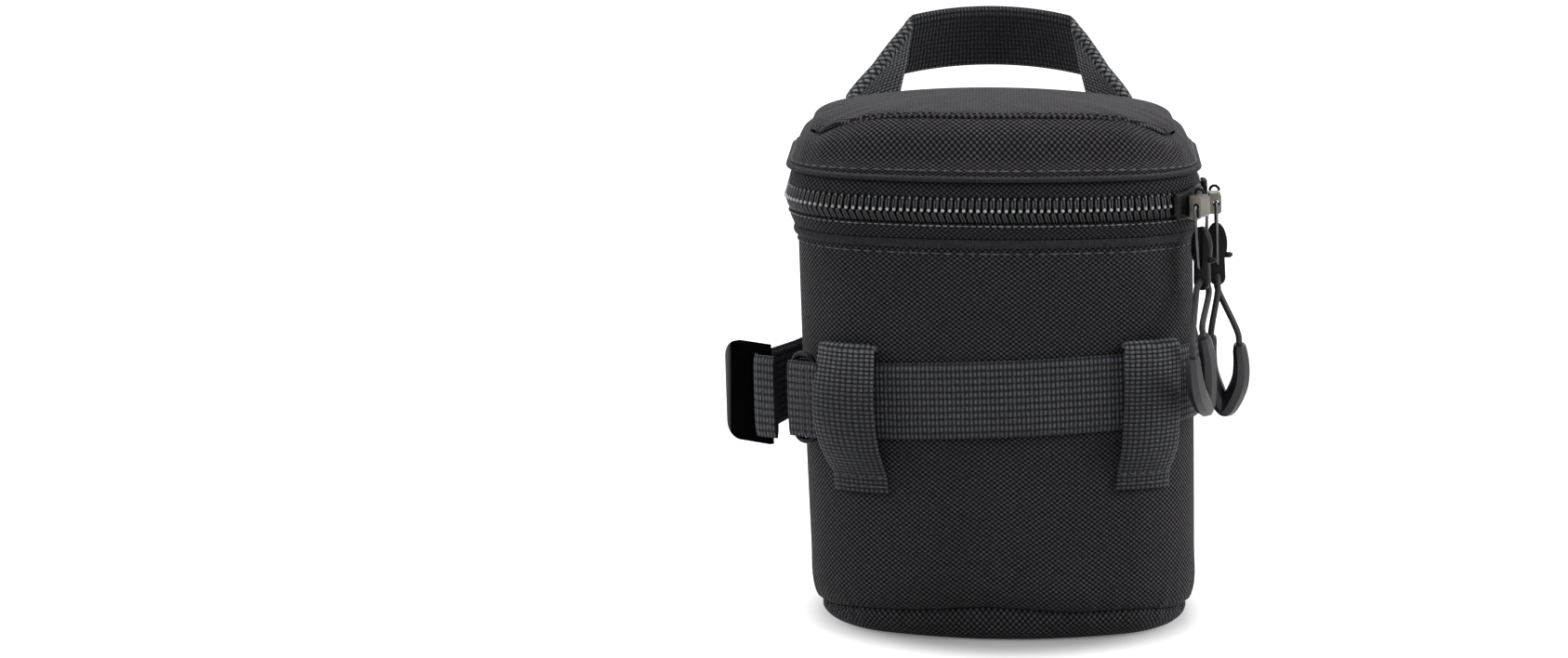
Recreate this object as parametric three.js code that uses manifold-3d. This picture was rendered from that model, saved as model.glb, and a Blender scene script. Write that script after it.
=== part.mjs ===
// Padded lens pouch with a zipped lid, a grab handle, a webbing belt and two hanging zip pulls.
// Millimetres, +Z up, the front faces -Y, and the origin is the middle of the base.
import * as THREE from 'three';
import Module from 'manifold-3d';
import { mergeVertices } from 'three/addons/utils/BufferGeometryUtils.js';

const wasm = await Module();
wasm.setup();

// Plan of the pouch seen from above: straight sides, round corners, a bowed front and a nearly flat back
const halfWidth = 49.5;
const frontReach = 45;
const backReach = 46;
const sideFrontInset = 28;
const sideFrontReach = frontReach - sideFrontInset;
const sideBackInset = 24;
const sideBackReach = backReach - sideBackInset;
const frontCornerRadius = 24;
const backCornerRadius = 22;

// The standing pouch leans a little to its left: each height is shifted by this share of itself
const leanShare = 0.03;

// Layers of the wall, and the gap between layers that lie on each other
const seatGap = 0.3;
const fabricThickness = 1.2;
const foamThickness = 5;
const liningThickness = 0.8;

// Body: base tray, side shell and the bound rim
const bodyHeight = 100.2;
const baseSeamHeight = 8;
const baseTaper = 1.2;
const baseEdgeInset = 5;
const basePadThickness = 5;
const rimRise = 2;
const rimHeight = bodyHeight + rimRise;
const rimLip = 1.1;
const rimDrop = 0.7;
const rimChamfer = 0.5;

// Back panel sewn on the back of the shell
const backPanelHalfWidth = 26;
const backPanelBottom = 12;
const backPanelDrop = 4.2;
const backPanelTop = bodyHeight - backPanelDrop;
const backPanelThickness = 2;

// Zip: two rows that mesh at one height, on two tapes
const meshRise = 7.1;
const meshHeight = rimHeight + meshRise;
const rowOuter = 2.3;
const rowInner = 0.2;
const rowBackReach = 3;
const toothPitch = 2.2;
const toothReach = 1.7;
const toothGap = 0.6;
const partedGap = 0.9;
const partedToothReach = 0.9;
const tapeThickness = 0.8;
const tapeEdgeOffset = 0.7;
const tapeFoldOffset = 0.2;
const zipEndReach = 28;

// Hinge panel of cloth at the back, between the ends of the zip
const hingePanelReach = 26;
const hingePanelOffset = 0.5;

// Lid: flared lip, leaning side band and a pillowed top
const lidLipOffset = 2.1;
const lidBandOffset = 1.7;
const lidBindingThickness = 1.1;
const lidBindingBottom = 2 * meshHeight - rimHeight;
const lidBandBottom = lidBindingBottom + lidBindingThickness + seatGap;
const creaseRise = 14;
const creaseFrontHeight = lidBandBottom + creaseRise;
const creaseSideDrop = 7.8;
const creaseSideOffset = 3.5;
const creaseFrontInset = 2.5;
const lidTopRise = 2.8;
const lidTopHeight = creaseFrontHeight + lidTopRise;
const lidFoamThickness = 3;
const lidLayerGaps = 1.5;
const lidBackFallShare = 0.34;
const lidPillowShare = 0.42;
const creasePowerShare = 4;

// Belt webbing, which lies a little lower on the left than on the right
const webbingThickness = 1.4;
const beltWidth = 19.1;
const beltBottom = 52.6;
const beltTiltShare = 0.045;
const beltRingLead = 10.9;
const beltFoldTail = 8.4;
const beltRampLead = 4.2;
const beltRampLength = 12.6;
const strapDrop = 1.8;
const strapLeaveReach = 9;

// Belt loops on the front
const loopWidth = 16;
const loopBottom = 38;
const loopTop = 75.6;
const loopStand = 3.3;
const loopCrownStand = 3.7;
const loopFoldRadius = 1.15;
const leftLoopInset = 12.5;
const leftLoopReach = halfWidth - leftLoopInset;
const rightLoopInset = 11.2;
const rightLoopReach = halfWidth - rightLoopInset;
const leftLoopLean = 1.4;
const rightLoopLean = 1;
const leftLoopLift = -0.4;
const rightLoopLift = 0.9;

// Belt end at the left: wire ring held between the layers of the fold, and the moulded plate that the strap turns round
const ringWire = 1.6;
const ringWidth = 7;
const ringHeight = 23.6;
const ringCornerRadius = 3.1;
const plateWidth = 15;
const plateHeight = 25.6;
const plateThickness = 2.6;
const plateCornerRadius = 4.5;
const plateBarWidth = 2.2;
const plateWindowWidth = 2.9;
const plateWindowClearance = 0.8;
const plateBarStand = 9.2;
const plateBarX = -(halfWidth + plateBarStand);
const plateBarY = -14.5;
const strapTail = 5.5;

// Handle: one webbing whose two legs turn into the band through a soft diagonal fold
const handleWidth = 19;
const handleRadius = backReach;
const handleCentreY = 2.5;
const handleLegInset = 4.1;
const handleLegReach = halfWidth - handleLegInset;
const handleFoldRadius = 1.3;
const handleFoldDrop = 8.6;
const handleFoldHeight = lidTopHeight - handleFoldDrop;
const handleArch = 6.4;
const handleLean = 8.4;
const handleRiseShare = 0.85;
const handleSink = 7;

// Sliders and their metal blocks
const sliderLength = 12.5;
const sliderHalfHeight = 4.4;
const sliderMeshReach = 3.1;
const sliderPlateThickness = 1.3;
const sliderClearance = 0.4;
const sliderPostLength = 2.4;
const sliderPostHeight = 1;
const sliderChamfer = 0.5;
const rearSliderSetback = 0.3;
const rearSliderTravel = 16;
const sliderNoseGap = 7;
const blockLength = 4.6;
const blockHeight = 5.4;
const blockThickness = 3.3;
const blockDrop = 0.3;
const blockChamfer = 0.6;
const crownWire = 0.8;
const crownReach = 1.2;
const crownRise = 1.3;
const rearPullDrop = 2.1;

// Pulls: wire bail, moulded link, cord and moulded grip, hanging from the bail's top rod
const bailWire = 1;
const bailBore = 1.6;
const bailRodDrop = 0.2;
const bailLength = 15.8;
const bailBottomHalf = 1.8;
const linkThickness = 2;
const linkWidth = 5;
const linkTopDrop = 5.2;
const linkOvalLength = 10.6;
const linkNeckWidth = 4.2;
const linkLength = 21.2;
const linkCordDrop = 18.8;
const linkNubLength = 2.4;
const linkNubRadius = 0.8;
const linkNubRise = 2.4;
const cordDiameter = 1.6;
const cordTurnRadius = 3.2;
const cordBore = 2.9;
const cordStep = 1.6;
const cordSides = 8;
const cordSeat = 3;

// Grips: a moulded V whose two arms take the ends of the cord. The tip is set from the middle of
// the block above it, to the right, back and down. The V's plane has a heading from +X, and the V a
// tilt in that plane and a lean out of it, in degrees.
const gripHalf = 4;
const gripHeight = 20;
const gripRadius = 2.2;
const gripMouthDepth = 4;
const frontGrip = { right: 0.34, back: 0.88, down: 50.91, heading: 68.9, tilt: -31.7, lean: 6.8 };
const rearGrip = { right: 1.53, back: 2.95, down: 53.27, heading: -30.5, tilt: 11, lean: 19.4 };

// How finely the curved forms are divided
const backArcSteps = 2;
const cornerSteps = 6;
const sideSteps = 2;
const frontArcSteps = 8;
const bandStep = 4.2;
const turnSteps = 5;
const cordTurnSteps = 6;
const wireSides = 6;
const boreSides = 12;
const gripSides = 10;
const slabSteps = 4;
const loopAcrossSteps = 4;
const handleAcrossSteps = 5;
const handleFootSteps = 3;
const handleFoldSteps = 7;
const handleBandSteps = 16;
const linkSegments = 6;

// Stretches of the plan by their place in the chain
const leftSideSegment = 2;
const leftFrontCornerSegment = 3;
const rightSideSegment = 6;

// Shares chosen by eye
const beltLeaveShare = 0.68;
const plateWayXShare = 0.76;
const plateWayYShare = 0.65;
const handleLeanShare = 1.3;
const loopRiseShare = 4;
const pullOutShare = 0.6;
const neckShoulderShare = 0.45;
const neckFromShare = 0.3;
const mergeShare = 0.001;
const gripPathShares = [
  { across: -1, up: 1, thick: 0.8 },
  { across: -1.1, up: 0.74, thick: 0.98 },
  { across: -1.08, up: 0.45, thick: 1 },
  { across: -0.8, up: 0.2, thick: 1 },
  { across: -0.28, up: 0.06, thick: 0.86 },
  { across: 0.28, up: 0.06, thick: 0.86 },
  { across: 0.8, up: 0.2, thick: 1 },
  { across: 1.08, up: 0.45, thick: 1 },
  { across: 1.1, up: 0.74, thick: 0.98 },
  { across: 1, up: 1, thick: 0.8 },
];

// Materials
function finish(colour, roughness, metalness) {
  return new THREE.MeshStandardMaterial({ color: colour, roughness, metalness });
}
const wovenCloth = finish(0x232325, 0.88, 0);
const webbingCloth = finish(0x2b2c30, 0.8, 0);
const bindingCloth = finish(0x1d1d1f, 0.85, 0);
const foam = finish(0x3a3a3c, 0.95, 0);
const liningCloth = finish(0x2e2f33, 0.9, 0);
const zipNylon = finish(0x37383a, 0.45, 0);
const blackMetal = finish(0x101012, 0.25, 0.6);
const greyMetal = finish(0x8d8881, 0.35, 0.9);
const blackPlastic = finish(0x0d0d0e, 0.22, 0);
const softPlastic = finish(0x1b1b1d, 0.5, 0);
const cordCloth = finish(0x161617, 0.75, 0);

const part = new THREE.Group();

const lean = new THREE.Matrix4().makeShear(0, 0, 0, 0, -leanShare, 0);

function addPiece(name, geometry, material) {
  const mesh = new THREE.Mesh(geometry.applyMatrix4(lean), material);
  mesh.name = name;
  part.add(mesh);
}

// A closed solid over a grid of points. Rows follow each other along the form, and columns go round
// its section. Where a direction doesn't close on itself, a fan to the middle closes its two ends.
function gridSolid(rows, wrapRows, wrapColumns) {
  const rowCount = rows.length;
  const columnCount = rows[0].length;
  const points = rows.flat();
  const triangles = [];
  const at = (i, j) => (i % rowCount) * columnCount + (j % columnCount);
  const lastRow = wrapRows ? rowCount : rowCount - 1;
  const lastColumn = wrapColumns ? columnCount : columnCount - 1;
  for (let i = 0; i < lastRow; i += 1) {
    for (let j = 0; j < lastColumn; j += 1) {
      triangles.push(at(i, j), at(i + 1, j), at(i + 1, j + 1));
      triangles.push(at(i, j), at(i + 1, j + 1), at(i, j + 1));
    }
  }
  const closeFan = (loop) => {
    const middle = new THREE.Vector3();
    loop.forEach((index) => middle.add(points[index]));
    middle.divideScalar(loop.length);
    points.push(middle);
    loop.forEach((index, k) => triangles.push(points.length - 1, index, loop[(k + 1) % loop.length]));
  };
  if (!wrapRows) {
    closeFan(rows[0].map((_, j) => at(0, j)));
    closeFan(rows[0].map((_, j) => at(rowCount - 1, j)).reverse());
  }
  if (!wrapColumns) {
    closeFan(rows.map((_, i) => at(i, 0)).reverse());
    closeFan(rows.map((_, i) => at(i, columnCount - 1)));
  }
  const geometry = new THREE.BufferGeometry();
  geometry.setAttribute('position', new THREE.Float32BufferAttribute(points.flatMap((p) => p.toArray()), 3));
  geometry.setIndex(triangles);
  return faceOutwards(geometry);
}

// Turns every triangle round if the volume that they enclose comes out negative
function faceOutwards(geometry) {
  const position = geometry.getAttribute('position');
  const index = geometry.getIndex().array;
  const corners = [new THREE.Vector3(), new THREE.Vector3(), new THREE.Vector3()];
  let volume = 0;
  for (let k = 0; k < index.length; k += 3) {
    corners.forEach((corner, c) => corner.fromBufferAttribute(position, index[k + c]));
    volume += corners[0].dot(corners[1].clone().cross(corners[2]));
  }
  if (volume < 0) {
    for (let k = 0; k < index.length; k += 3) {
      [index[k + 1], index[k + 2]] = [index[k + 2], index[k + 1]];
    }
  }
  return geometry;
}

// Cuts and joins of closed meshes
function toManifold(geometry) {
  const bare = geometry.clone();
  bare.deleteAttribute('normal');
  bare.deleteAttribute('uv');
  const merged = mergeVertices(bare, seatGap * mergeShare);
  const vertProperties = new Float32Array(merged.getAttribute('position').array);
  const triVerts = new Uint32Array(merged.getIndex().array);
  return new wasm.Manifold(new wasm.Mesh({ numProp: 3, vertProperties, triVerts }));
}

function fromManifold(solid) {
  const mesh = solid.getMesh();
  const geometry = new THREE.BufferGeometry();
  geometry.setAttribute('position', new THREE.Float32BufferAttribute(mesh.vertProperties, 3));
  geometry.setIndex(Array.from(mesh.triVerts));
  return geometry;
}

function join(...geometries) {
  return fromManifold(geometries.map(toManifold).reduce((a, b) => a.add(b)));
}

function cut(geometry, ...tools) {
  return fromManifold(tools.map(toManifold).reduce((a, b) => a.subtract(b), toManifold(geometry)));
}

// The plan as a chain of arcs and straight lines, walked anticlockwise from the middle of the back
function makePlan() {
  const arcRadius = (reach, cornerRadius, sideReach) => {
    const across = halfWidth - cornerRadius;
    const depth = reach - sideReach;
    return (across ** 2 + depth ** 2 - cornerRadius ** 2) / (2 * (depth - cornerRadius));
  };
  const frontRadius = arcRadius(frontReach, frontCornerRadius, sideFrontReach);
  const backRadius = arcRadius(backReach, backCornerRadius, sideBackReach);
  const frontHalf = Math.asin((halfWidth - frontCornerRadius) / (frontRadius - frontCornerRadius));
  const backHalf = Math.asin((halfWidth - backCornerRadius) / (backRadius - backCornerRadius));
  const quarter = Math.PI / 2;
  const sideLength = sideFrontReach + sideBackReach;
  const frontCornerX = halfWidth - frontCornerRadius;
  const backCornerX = halfWidth - backCornerRadius;
  const backCentreY = backReach - backRadius;
  const frontCentreY = frontRadius - frontReach;
  const arc = (x, y, radius, from, sweep, steps) => ({ x, y, radius, from, sweep, length: radius * sweep, steps });
  const side = (x, y, from, down) => ({ x, y, from, down, length: sideLength, steps: sideSteps });
  return {
    segments: [
      arc(0, backCentreY, backRadius, quarter, backHalf, backArcSteps),
      arc(-backCornerX, sideBackReach, backCornerRadius, quarter + backHalf, quarter - backHalf, cornerSteps),
      side(-halfWidth, sideBackReach, 2 * quarter, -1),
      arc(-frontCornerX, -sideFrontReach, frontCornerRadius, 2 * quarter, quarter - frontHalf, cornerSteps),
      arc(0, frontCentreY, frontRadius, 3 * quarter - frontHalf, 2 * frontHalf, frontArcSteps),
      arc(frontCornerX, -sideFrontReach, frontCornerRadius, 3 * quarter + frontHalf, quarter - frontHalf, cornerSteps),
      side(halfWidth, -sideFrontReach, 4 * quarter, 1),
      arc(backCornerX, sideBackReach, backCornerRadius, 4 * quarter, quarter - backHalf, cornerSteps),
      arc(0, backCentreY, backRadius, 5 * quarter - backHalf, backHalf, backArcSteps),
    ],
  };
}
const plan = makePlan();
const planLength = plan.segments.reduce((sum, segment) => sum + segment.length, 0);
const frontMiddle = planLength / 2;

// Place and outward direction at a distance along the plan
function planAt(distance) {
  let rest = ((distance % planLength) + planLength) % planLength;
  const last = plan.segments[plan.segments.length - 1];
  const segment = plan.segments.find((candidate) => {
    if (rest <= candidate.length) return true;
    rest -= candidate.length;
    return false;
  }) ?? last;
  const turn = segment.sweep ? segment.from + segment.sweep * (rest / segment.length) : segment.from;
  const nx = Math.cos(turn);
  const ny = Math.sin(turn);
  if (segment.sweep) return { x: segment.x + segment.radius * nx, y: segment.y + segment.radius * ny, nx, ny };
  return { x: segment.x, y: segment.y + segment.down * rest, nx, ny };
}

function planStart(index) {
  return plan.segments.slice(0, index).reduce((sum, segment) => sum + segment.length, 0);
}

const stations = plan.segments.flatMap((segment, index) =>
  Array.from({ length: segment.steps }, (_, k) => planAt(planStart(index) + segment.length * (k / segment.steps))));

function offsetPoint(station, offset, height) {
  return new THREE.Vector3(station.x + offset * station.nx, station.y + offset * station.ny, height);
}

// A ring all round the plan: the profile is a closed list of offsets and heights
function planRing(profile) {
  return gridSolid(stations.map((station) => profile.map(([offset, z]) => offsetPoint(station, offset, z))), true, true);
}

// A tray or disc all round the plan: the profile runs from one middle to the other
function planTray(profile) {
  return gridSolid(stations.map((station) => profile.map(([offset, z]) => offsetPoint(station, offset, z))), true, false);
}

// A strip along a stretch of the plan, whose section may change with the distance
function planStrip(distances, sectionAt) {
  return gridSolid(distances.map((s, k) => {
    const station = planAt(s);
    return sectionAt(s, k).map(([offset, z]) => offsetPoint(station, offset, z));
  }), false, true);
}

function spread(from, to, step) {
  const count = Math.max(1, Math.round(Math.abs(to - from) / step));
  return Array.from({ length: count + 1 }, (_, k) => from + (to - from) * (k / count));
}

// Body: the shell draws in a little towards the base
function bodyOffset(z) {
  const share = Math.min(1, Math.max(0, (bodyHeight - z) / (bodyHeight - baseSeamHeight)));
  return -baseTaper * share ** 2;
}

const shellHeightShares = [0, 0.3, 0.65, 1];

function wallProfile(outerDepth, thickness, bottom, top) {
  const heights = shellHeightShares.map((share) => bottom + (top - bottom) * share);
  const outside = heights.map((z) => [bodyOffset(z) - outerDepth, z]);
  const inside = heights.map((z) => [bodyOffset(z) - outerDepth - thickness, z]).reverse();
  return [...outside, ...inside];
}

// Base tray: flat below, with a quarter round up to the seam
const baseTurnShares = [[0, 0], [0.5, 0.13], [0.87, 0.5], [1, 1]];

function baseProfile(depth) {
  const seamOffset = bodyOffset(baseSeamHeight);
  const turn = baseTurnShares.map(([outShare, upShare]) => [
    seamOffset - baseEdgeInset + (baseEdgeInset - depth) * outShare,
    depth + (baseSeamHeight - seatGap - depth) * upShare,
  ]);
  return turn;
}

function makeBody() {
  const outer = baseProfile(0);
  const inner = baseProfile(fabricThickness).reverse();
  addPiece('base_panel', planTray([...outer, ...inner]), wovenCloth);
  addPiece('outer_shell', planRing(wallProfile(0, fabricThickness, baseSeamHeight, bodyHeight)), wovenCloth);

  const padDepth = fabricThickness + seatGap;
  const padOutline = baseProfile(padDepth).map(([offset, z]) => [offset, Math.min(z, padDepth + basePadThickness)]);
  const padTop = padDepth + basePadThickness;
  addPiece('base_pad', planTray(padOutline), foam);

  const wallBottom = padTop + seatGap;
  const foamDepth = fabricThickness + seatGap;
  addPiece('foam_wall', planRing(wallProfile(foamDepth, foamThickness, wallBottom + seatGap, bodyHeight)), foam);

  const liningDepth = foamDepth + foamThickness + seatGap;
  const liningOut = shellHeightShares.map((share) => {
    const z = wallBottom + (bodyHeight - wallBottom) * share;
    return [bodyOffset(z) - liningDepth, z];
  });
  const liningFloor = wallBottom + liningThickness;
  const liningIn = shellHeightShares.map((share) => {
    const z = liningFloor + (bodyHeight - liningFloor) * share;
    return [bodyOffset(z) - liningDepth - liningThickness, z];
  }).reverse();
  addPiece('inner_lining', planTray([...liningOut, ...liningIn]), liningCloth);

  const rimBottom = bodyHeight + seatGap;
  const rimInner = -(liningDepth + liningThickness);
  addPiece('rim_binding', planRing([
    [rimInner, rimBottom],
    [seatGap, rimBottom],
    [seatGap, rimBottom - rimDrop],
    [rimLip - seatGap, rimBottom - rimDrop],
    [rimLip, rimHeight - rimChamfer],
    [rimLip - rimChamfer, rimHeight],
    [rimInner, rimHeight],
  ]), bindingCloth);
}

// Back panel: a padded board with one flat outer face, whose inner face follows the curve of the shell
function backPanelOuter(station) {
  return (backReach + backPanelThickness + seatGap - station.y) / station.ny;
}

function makeBackPanel() {
  addPiece('back_panel', planStrip(spread(-backPanelHalfWidth, backPanelHalfWidth, bandStep), (s) => {
    const outer = backPanelOuter(planAt(s));
    return [[seatGap, backPanelBottom], [outer, backPanelBottom], [outer, backPanelTop], [seatGap, backPanelTop]];
  }), wovenCloth);
}

// Zip: direction -1 is the body's half and 1 is the lid's. Reach is measured from the mesh line.
const sideStart = planStart(rightSideSegment);
const frontSliderMiddle = sideStart - sliderNoseGap - sliderLength / 2;
const rearSliderMiddle = sideStart + rearSliderSetback + sliderLength / 2;
const partedFrom = frontSliderMiddle - sliderMeshReach;
const partedTo = rearSliderMiddle + rearSliderTravel;

function makeZipHalf(name, direction) {
  const zipFrom = zipEndReach;
  const zipTo = planLength - zipEndReach;
  const teeth = Math.round((zipTo - zipFrom) / toothPitch);
  const rowDistances = spread(zipFrom, zipTo, (zipTo - zipFrom) / (2 * teeth));
  const z = (reach) => meshHeight + direction * reach;
  addPiece(`${name}_zip_teeth`, planStrip(rowDistances, (s, k) => {
    const parted = s > partedFrom && s < partedTo;
    const near = parted ? partedGap : (toothGap - toothReach) / 2;
    const reach = parted ? partedToothReach : toothReach;
    const tip = near + ((k % 2 === 0) === (direction > 0) ? reach : 0);
    return [[rowInner, z(tip)], [rowOuter, z(tip)], [rowOuter, z(rowBackReach)], [rowInner, z(rowBackReach)]];
  }), zipNylon);

  const tapeNear = rowBackReach + seatGap;
  const tapeFar = meshHeight - rimHeight - seatGap;
  addPiece(`${name}_zip_tape`, planStrip(spread(zipFrom, zipTo, bandStep), () => [
    [tapeEdgeOffset, z(tapeNear)],
    [tapeEdgeOffset + tapeThickness, z(tapeNear)],
    [tapeFoldOffset + tapeThickness, z(tapeFar)],
    [tapeFoldOffset, z(tapeFar)],
  ]), bindingCloth);
}

// Hinge panel: the cloth that joins the lid to the body between the ends of the zip
function makeHingePanel() {
  const reach = meshHeight - rimHeight - seatGap;
  const outer = hingePanelOffset + fabricThickness;
  addPiece('hinge_panel', planStrip(spread(-hingePanelReach, hingePanelReach, bandStep), () => [
    [hingePanelOffset, meshHeight - reach],
    [outer, meshHeight - reach],
    [outer, meshHeight + reach],
    [hingePanelOffset, meshHeight + reach],
  ]), wovenCloth);
}

// Lid: one surface gives the band, the top and the padded layers below them. A level is a place up
// the band or in over the top, and depth is how far a layer lies under the outer cloth.
const bandLevelShares = [
  { up: 0, out: 0, normal: [1, 0] },
  { up: 0.25, out: 0.3, normal: [1, 0.1] },
  { up: 0.7, out: 0.6, normal: [0.9, 0.35] },
  { up: 1, out: 1, normal: [0.75, 0.6] },
];
const topLevelShares = [
  { across: 0.008, normal: [0.6, 0.75] },
  { across: 0.05, normal: [0.4, 0.92] },
  { across: 0.14, normal: [0.22, 0.97] },
  { across: 0.32, normal: [0.1, 1] },
  { across: 0.6, normal: [0.05, 1] },
];
const bandLevels = bandLevelShares.length;
const lidLevels = bandLevels + topLevelShares.length;

function lidCrease(station) {
  const side = Math.min(1, Math.abs(station.x / (halfWidth - creaseSideOffset)) ** creasePowerShare);
  return {
    offset: -creaseSideOffset - creaseFrontInset * (1 - side),
    height: creaseFrontHeight - creaseSideDrop * side,
  };
}

function lidPoint(station, level, depth) {
  const crease = lidCrease(station);
  const onBand = level < bandLevels;
  const share = onBand ? bandLevelShares[level] : topLevelShares[level - bandLevels];
  const edgeOffset = onBand ? lidBandOffset + (crease.offset - lidBandOffset) * share.out : crease.offset;
  const inward = onBand ? 0 : share.across;
  const rise = (1 - (1 - inward) ** 2) ** lidPillowShare;
  const outerHeight = onBand
    ? lidBandBottom + (crease.height - lidBandBottom) * share.up
    : crease.height + (lidTopHeight - crease.height) * rise;
  const point = offsetPoint(station, edgeOffset - depth * share.normal[0], 0);
  point.multiplyScalar(1 - inward);
  const fall = 1 - lidBackFallShare * Math.max(0, point.y / backReach);
  point.z = lidBandBottom + (outerHeight - lidBandBottom) * fall - depth * share.normal[1];
  return point;
}

function lidLayer(fromLevel, depth, thickness) {
  const levels = Array.from({ length: lidLevels - fromLevel }, (_, k) => fromLevel + k);
  return gridSolid(stations.map((station) => [
    ...[...levels].reverse().map((level) => lidPoint(station, level, depth)),
    ...levels.map((level) => lidPoint(station, level, depth + thickness)),
  ]), true, false);
}

function lidEnvelope() {
  const levels = Array.from({ length: lidLevels }, (_, level) => level);
  return gridSolid(stations.map((station) => levels.map((level) => lidPoint(station, level, -seatGap))), true, false);
}

function makeLid() {
  const bindingTop = lidBindingBottom + lidBindingThickness;
  const liningDepth = fabricThickness + lidFoamThickness + lidLayerGaps;
  const bindingInner = lidBandOffset - liningDepth - liningThickness;
  addPiece('lid_binding', planRing([
    [bindingInner, lidBindingBottom],
    [lidLipOffset - rimChamfer, lidBindingBottom],
    [lidLipOffset, lidBindingBottom + rimChamfer],
    [lidLipOffset, bindingTop],
    [bindingInner, bindingTop],
  ]), bindingCloth);

  const bandList = bandLevelShares.map((_, level) => level);
  addPiece('lid_side_band', gridSolid(stations.map((station) => [
    ...bandList.map((level) => lidPoint(station, level, 0)),
    ...[...bandList].reverse().map((level) => lidPoint(station, level, fabricThickness)),
  ]), true, true), wovenCloth);
  addPiece('lid_top_panel', lidLayer(bandLevels, 0, fabricThickness), wovenCloth);
  addPiece('lid_foam', lidLayer(0, fabricThickness + seatGap, lidFoamThickness), foam);
  addPiece('lid_lining', lidLayer(0, liningDepth, liningThickness), liningCloth);
}

// A webbing or flat strip. Rows follow it along, and each row holds its middle points across the
// width with the outward direction of its face.
function ribbon(rows, thickness, closed) {
  const half = thickness / 2;
  return gridSolid(rows.map((row) => [
    ...row.map(({ point, face }) => point.clone().addScaledVector(face, half)),
    ...[...row].reverse().map(({ point, face }) => point.clone().addScaledVector(face, -half)),
  ]), closed, true);
}

// Outward direction of each row of a grid of points, from its neighbours along and across
function withFaces(grid) {
  const rows = grid.length;
  return grid.map((row, i) => row.map((point, j) => {
    const along = grid[Math.min(i + 1, rows - 1)][j].clone().sub(grid[Math.max(i - 1, 0)][j]);
    const across = row[Math.min(j + 1, row.length - 1)].clone().sub(row[Math.max(j - 1, 0)]);
    return { point, face: along.cross(across).normalize() };
  }));
}

// Belt: it starts folded round the ring at the left, runs over the front and round the back, and
// ends round the bar of the plate, where it hangs a little lower
const beltMiddleHeight = beltBottom + beltWidth / 2;
const webbingHalf = webbingThickness / 2;

function beltOffset(s) {
  const away = Math.min(s, planLength - s);
  const surface = bodyOffset(beltMiddleHeight) + seatGap + webbingHalf;
  const overPanel = backPanelOuter(planAt(Math.min(away, backPanelHalfWidth))) + seatGap + webbingHalf;
  const ramp = Math.min(1, Math.max(0, (away - backPanelHalfWidth - beltRampLead) / beltRampLength));
  return overPanel + (surface - overPanel) * ramp;
}

function routePoint(s) {
  const station = planAt(s);
  const offset = beltOffset(((s % planLength) + planLength) % planLength);
  return new THREE.Vector2(station.x + offset * station.nx, station.y + offset * station.ny);
}

// Route points round a bar, from one angle through a sweep
function turnRound(centre, radius, from, sweep) {
  return Array.from({ length: turnSteps + 1 }, (_, k) => {
    const angle = from + sweep * (k / turnSteps);
    return new THREE.Vector2(centre.x + radius * Math.cos(angle), centre.y + radius * Math.sin(angle));
  });
}

const beltLeave = planStart(leftFrontCornerSegment) + plan.segments[leftFrontCornerSegment].length * beltLeaveShare;
const leavePoint = routePoint(beltLeave);
const leaveStation = planAt(beltLeave);
// Along the belt's free end, away from the body, and the way that its face looks there
const freeWay = new THREE.Vector2(leaveStation.ny, -leaveStation.nx);
const freeFace = new THREE.Vector2(leaveStation.nx, leaveStation.ny);
const ringFoldRadius = ringWire / 2 + seatGap + webbingHalf;
const ringRod = leavePoint.clone().addScaledVector(freeWay, beltRingLead).addScaledVector(freeFace, ringFoldRadius);
const plateBar = new THREE.Vector2(plateBarX, plateBarY);
const plateWay = new THREE.Vector2(-plateWayXShare, plateWayYShare).normalize();
const barFoldRadius = Math.hypot(plateBarWidth, plateThickness) / 2 + seatGap + webbingHalf;

function beltRoute() {
  const faceAngle = Math.atan2(freeFace.y, freeFace.x);
  const foldTurn = turnRound(ringRod, ringFoldRadius, faceAngle, Math.PI);
  const tail = foldTurn[0].clone().addScaledVector(freeWay, -beltFoldTail);
  const front = spread(beltLeave, planLength, bandStep).map(routePoint);
  const leaveSide = planStart(leftSideSegment) + strapLeaveReach;
  const rear = spread(bandStep, leaveSide, bandStep).map(routePoint);
  const tailAngle = Math.atan2(plateWay.x, -plateWay.y);
  const from = rear[rear.length - 1];
  const lead = Math.atan2(plateBar.y - from.y, plateBar.x - from.x);
  const barTurn = turnRound(plateBar, barFoldRadius, lead - Math.PI / 2, wrapTo(tailAngle - lead + Math.PI / 2));
  const end = barTurn[barTurn.length - 1].clone().addScaledVector(plateWay, -strapTail);
  const rearFrom = 1 + foldTurn.length + front.length;
  const dropAt = (k) => strapDrop * Math.min(1, Math.max(0, (k - rearFrom) / rear.length));
  return [tail, ...foldTurn, ...front, ...rear, ...barTurn, end].map((point, k) => ({ point, drop: dropAt(k) }));
}

function wrapTo(angle) {
  const turn = 2 * Math.PI;
  return ((angle % turn) + turn) % turn;
}

function standingStrip(route, bottom, width) {
  const grid = route.map(({ point, drop }) => [0, 1].map((share) => {
    const z = bottom - drop + beltTiltShare * point.x + width * share;
    return new THREE.Vector3(point.x, point.y, z);
  }));
  return ribbon(withFaces(grid), webbingThickness, false);
}

function makeBelt() {
  addPiece('belt_webbing', standingStrip(beltRoute(), beltBottom, beltWidth), webbingCloth);
}

// Belt loops: sewn flat below the belt, standing over it, folded sharply above it
const loopPathShares = [0, 0.12, 0.3, 0.5, 0.7, 0.85];

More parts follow.
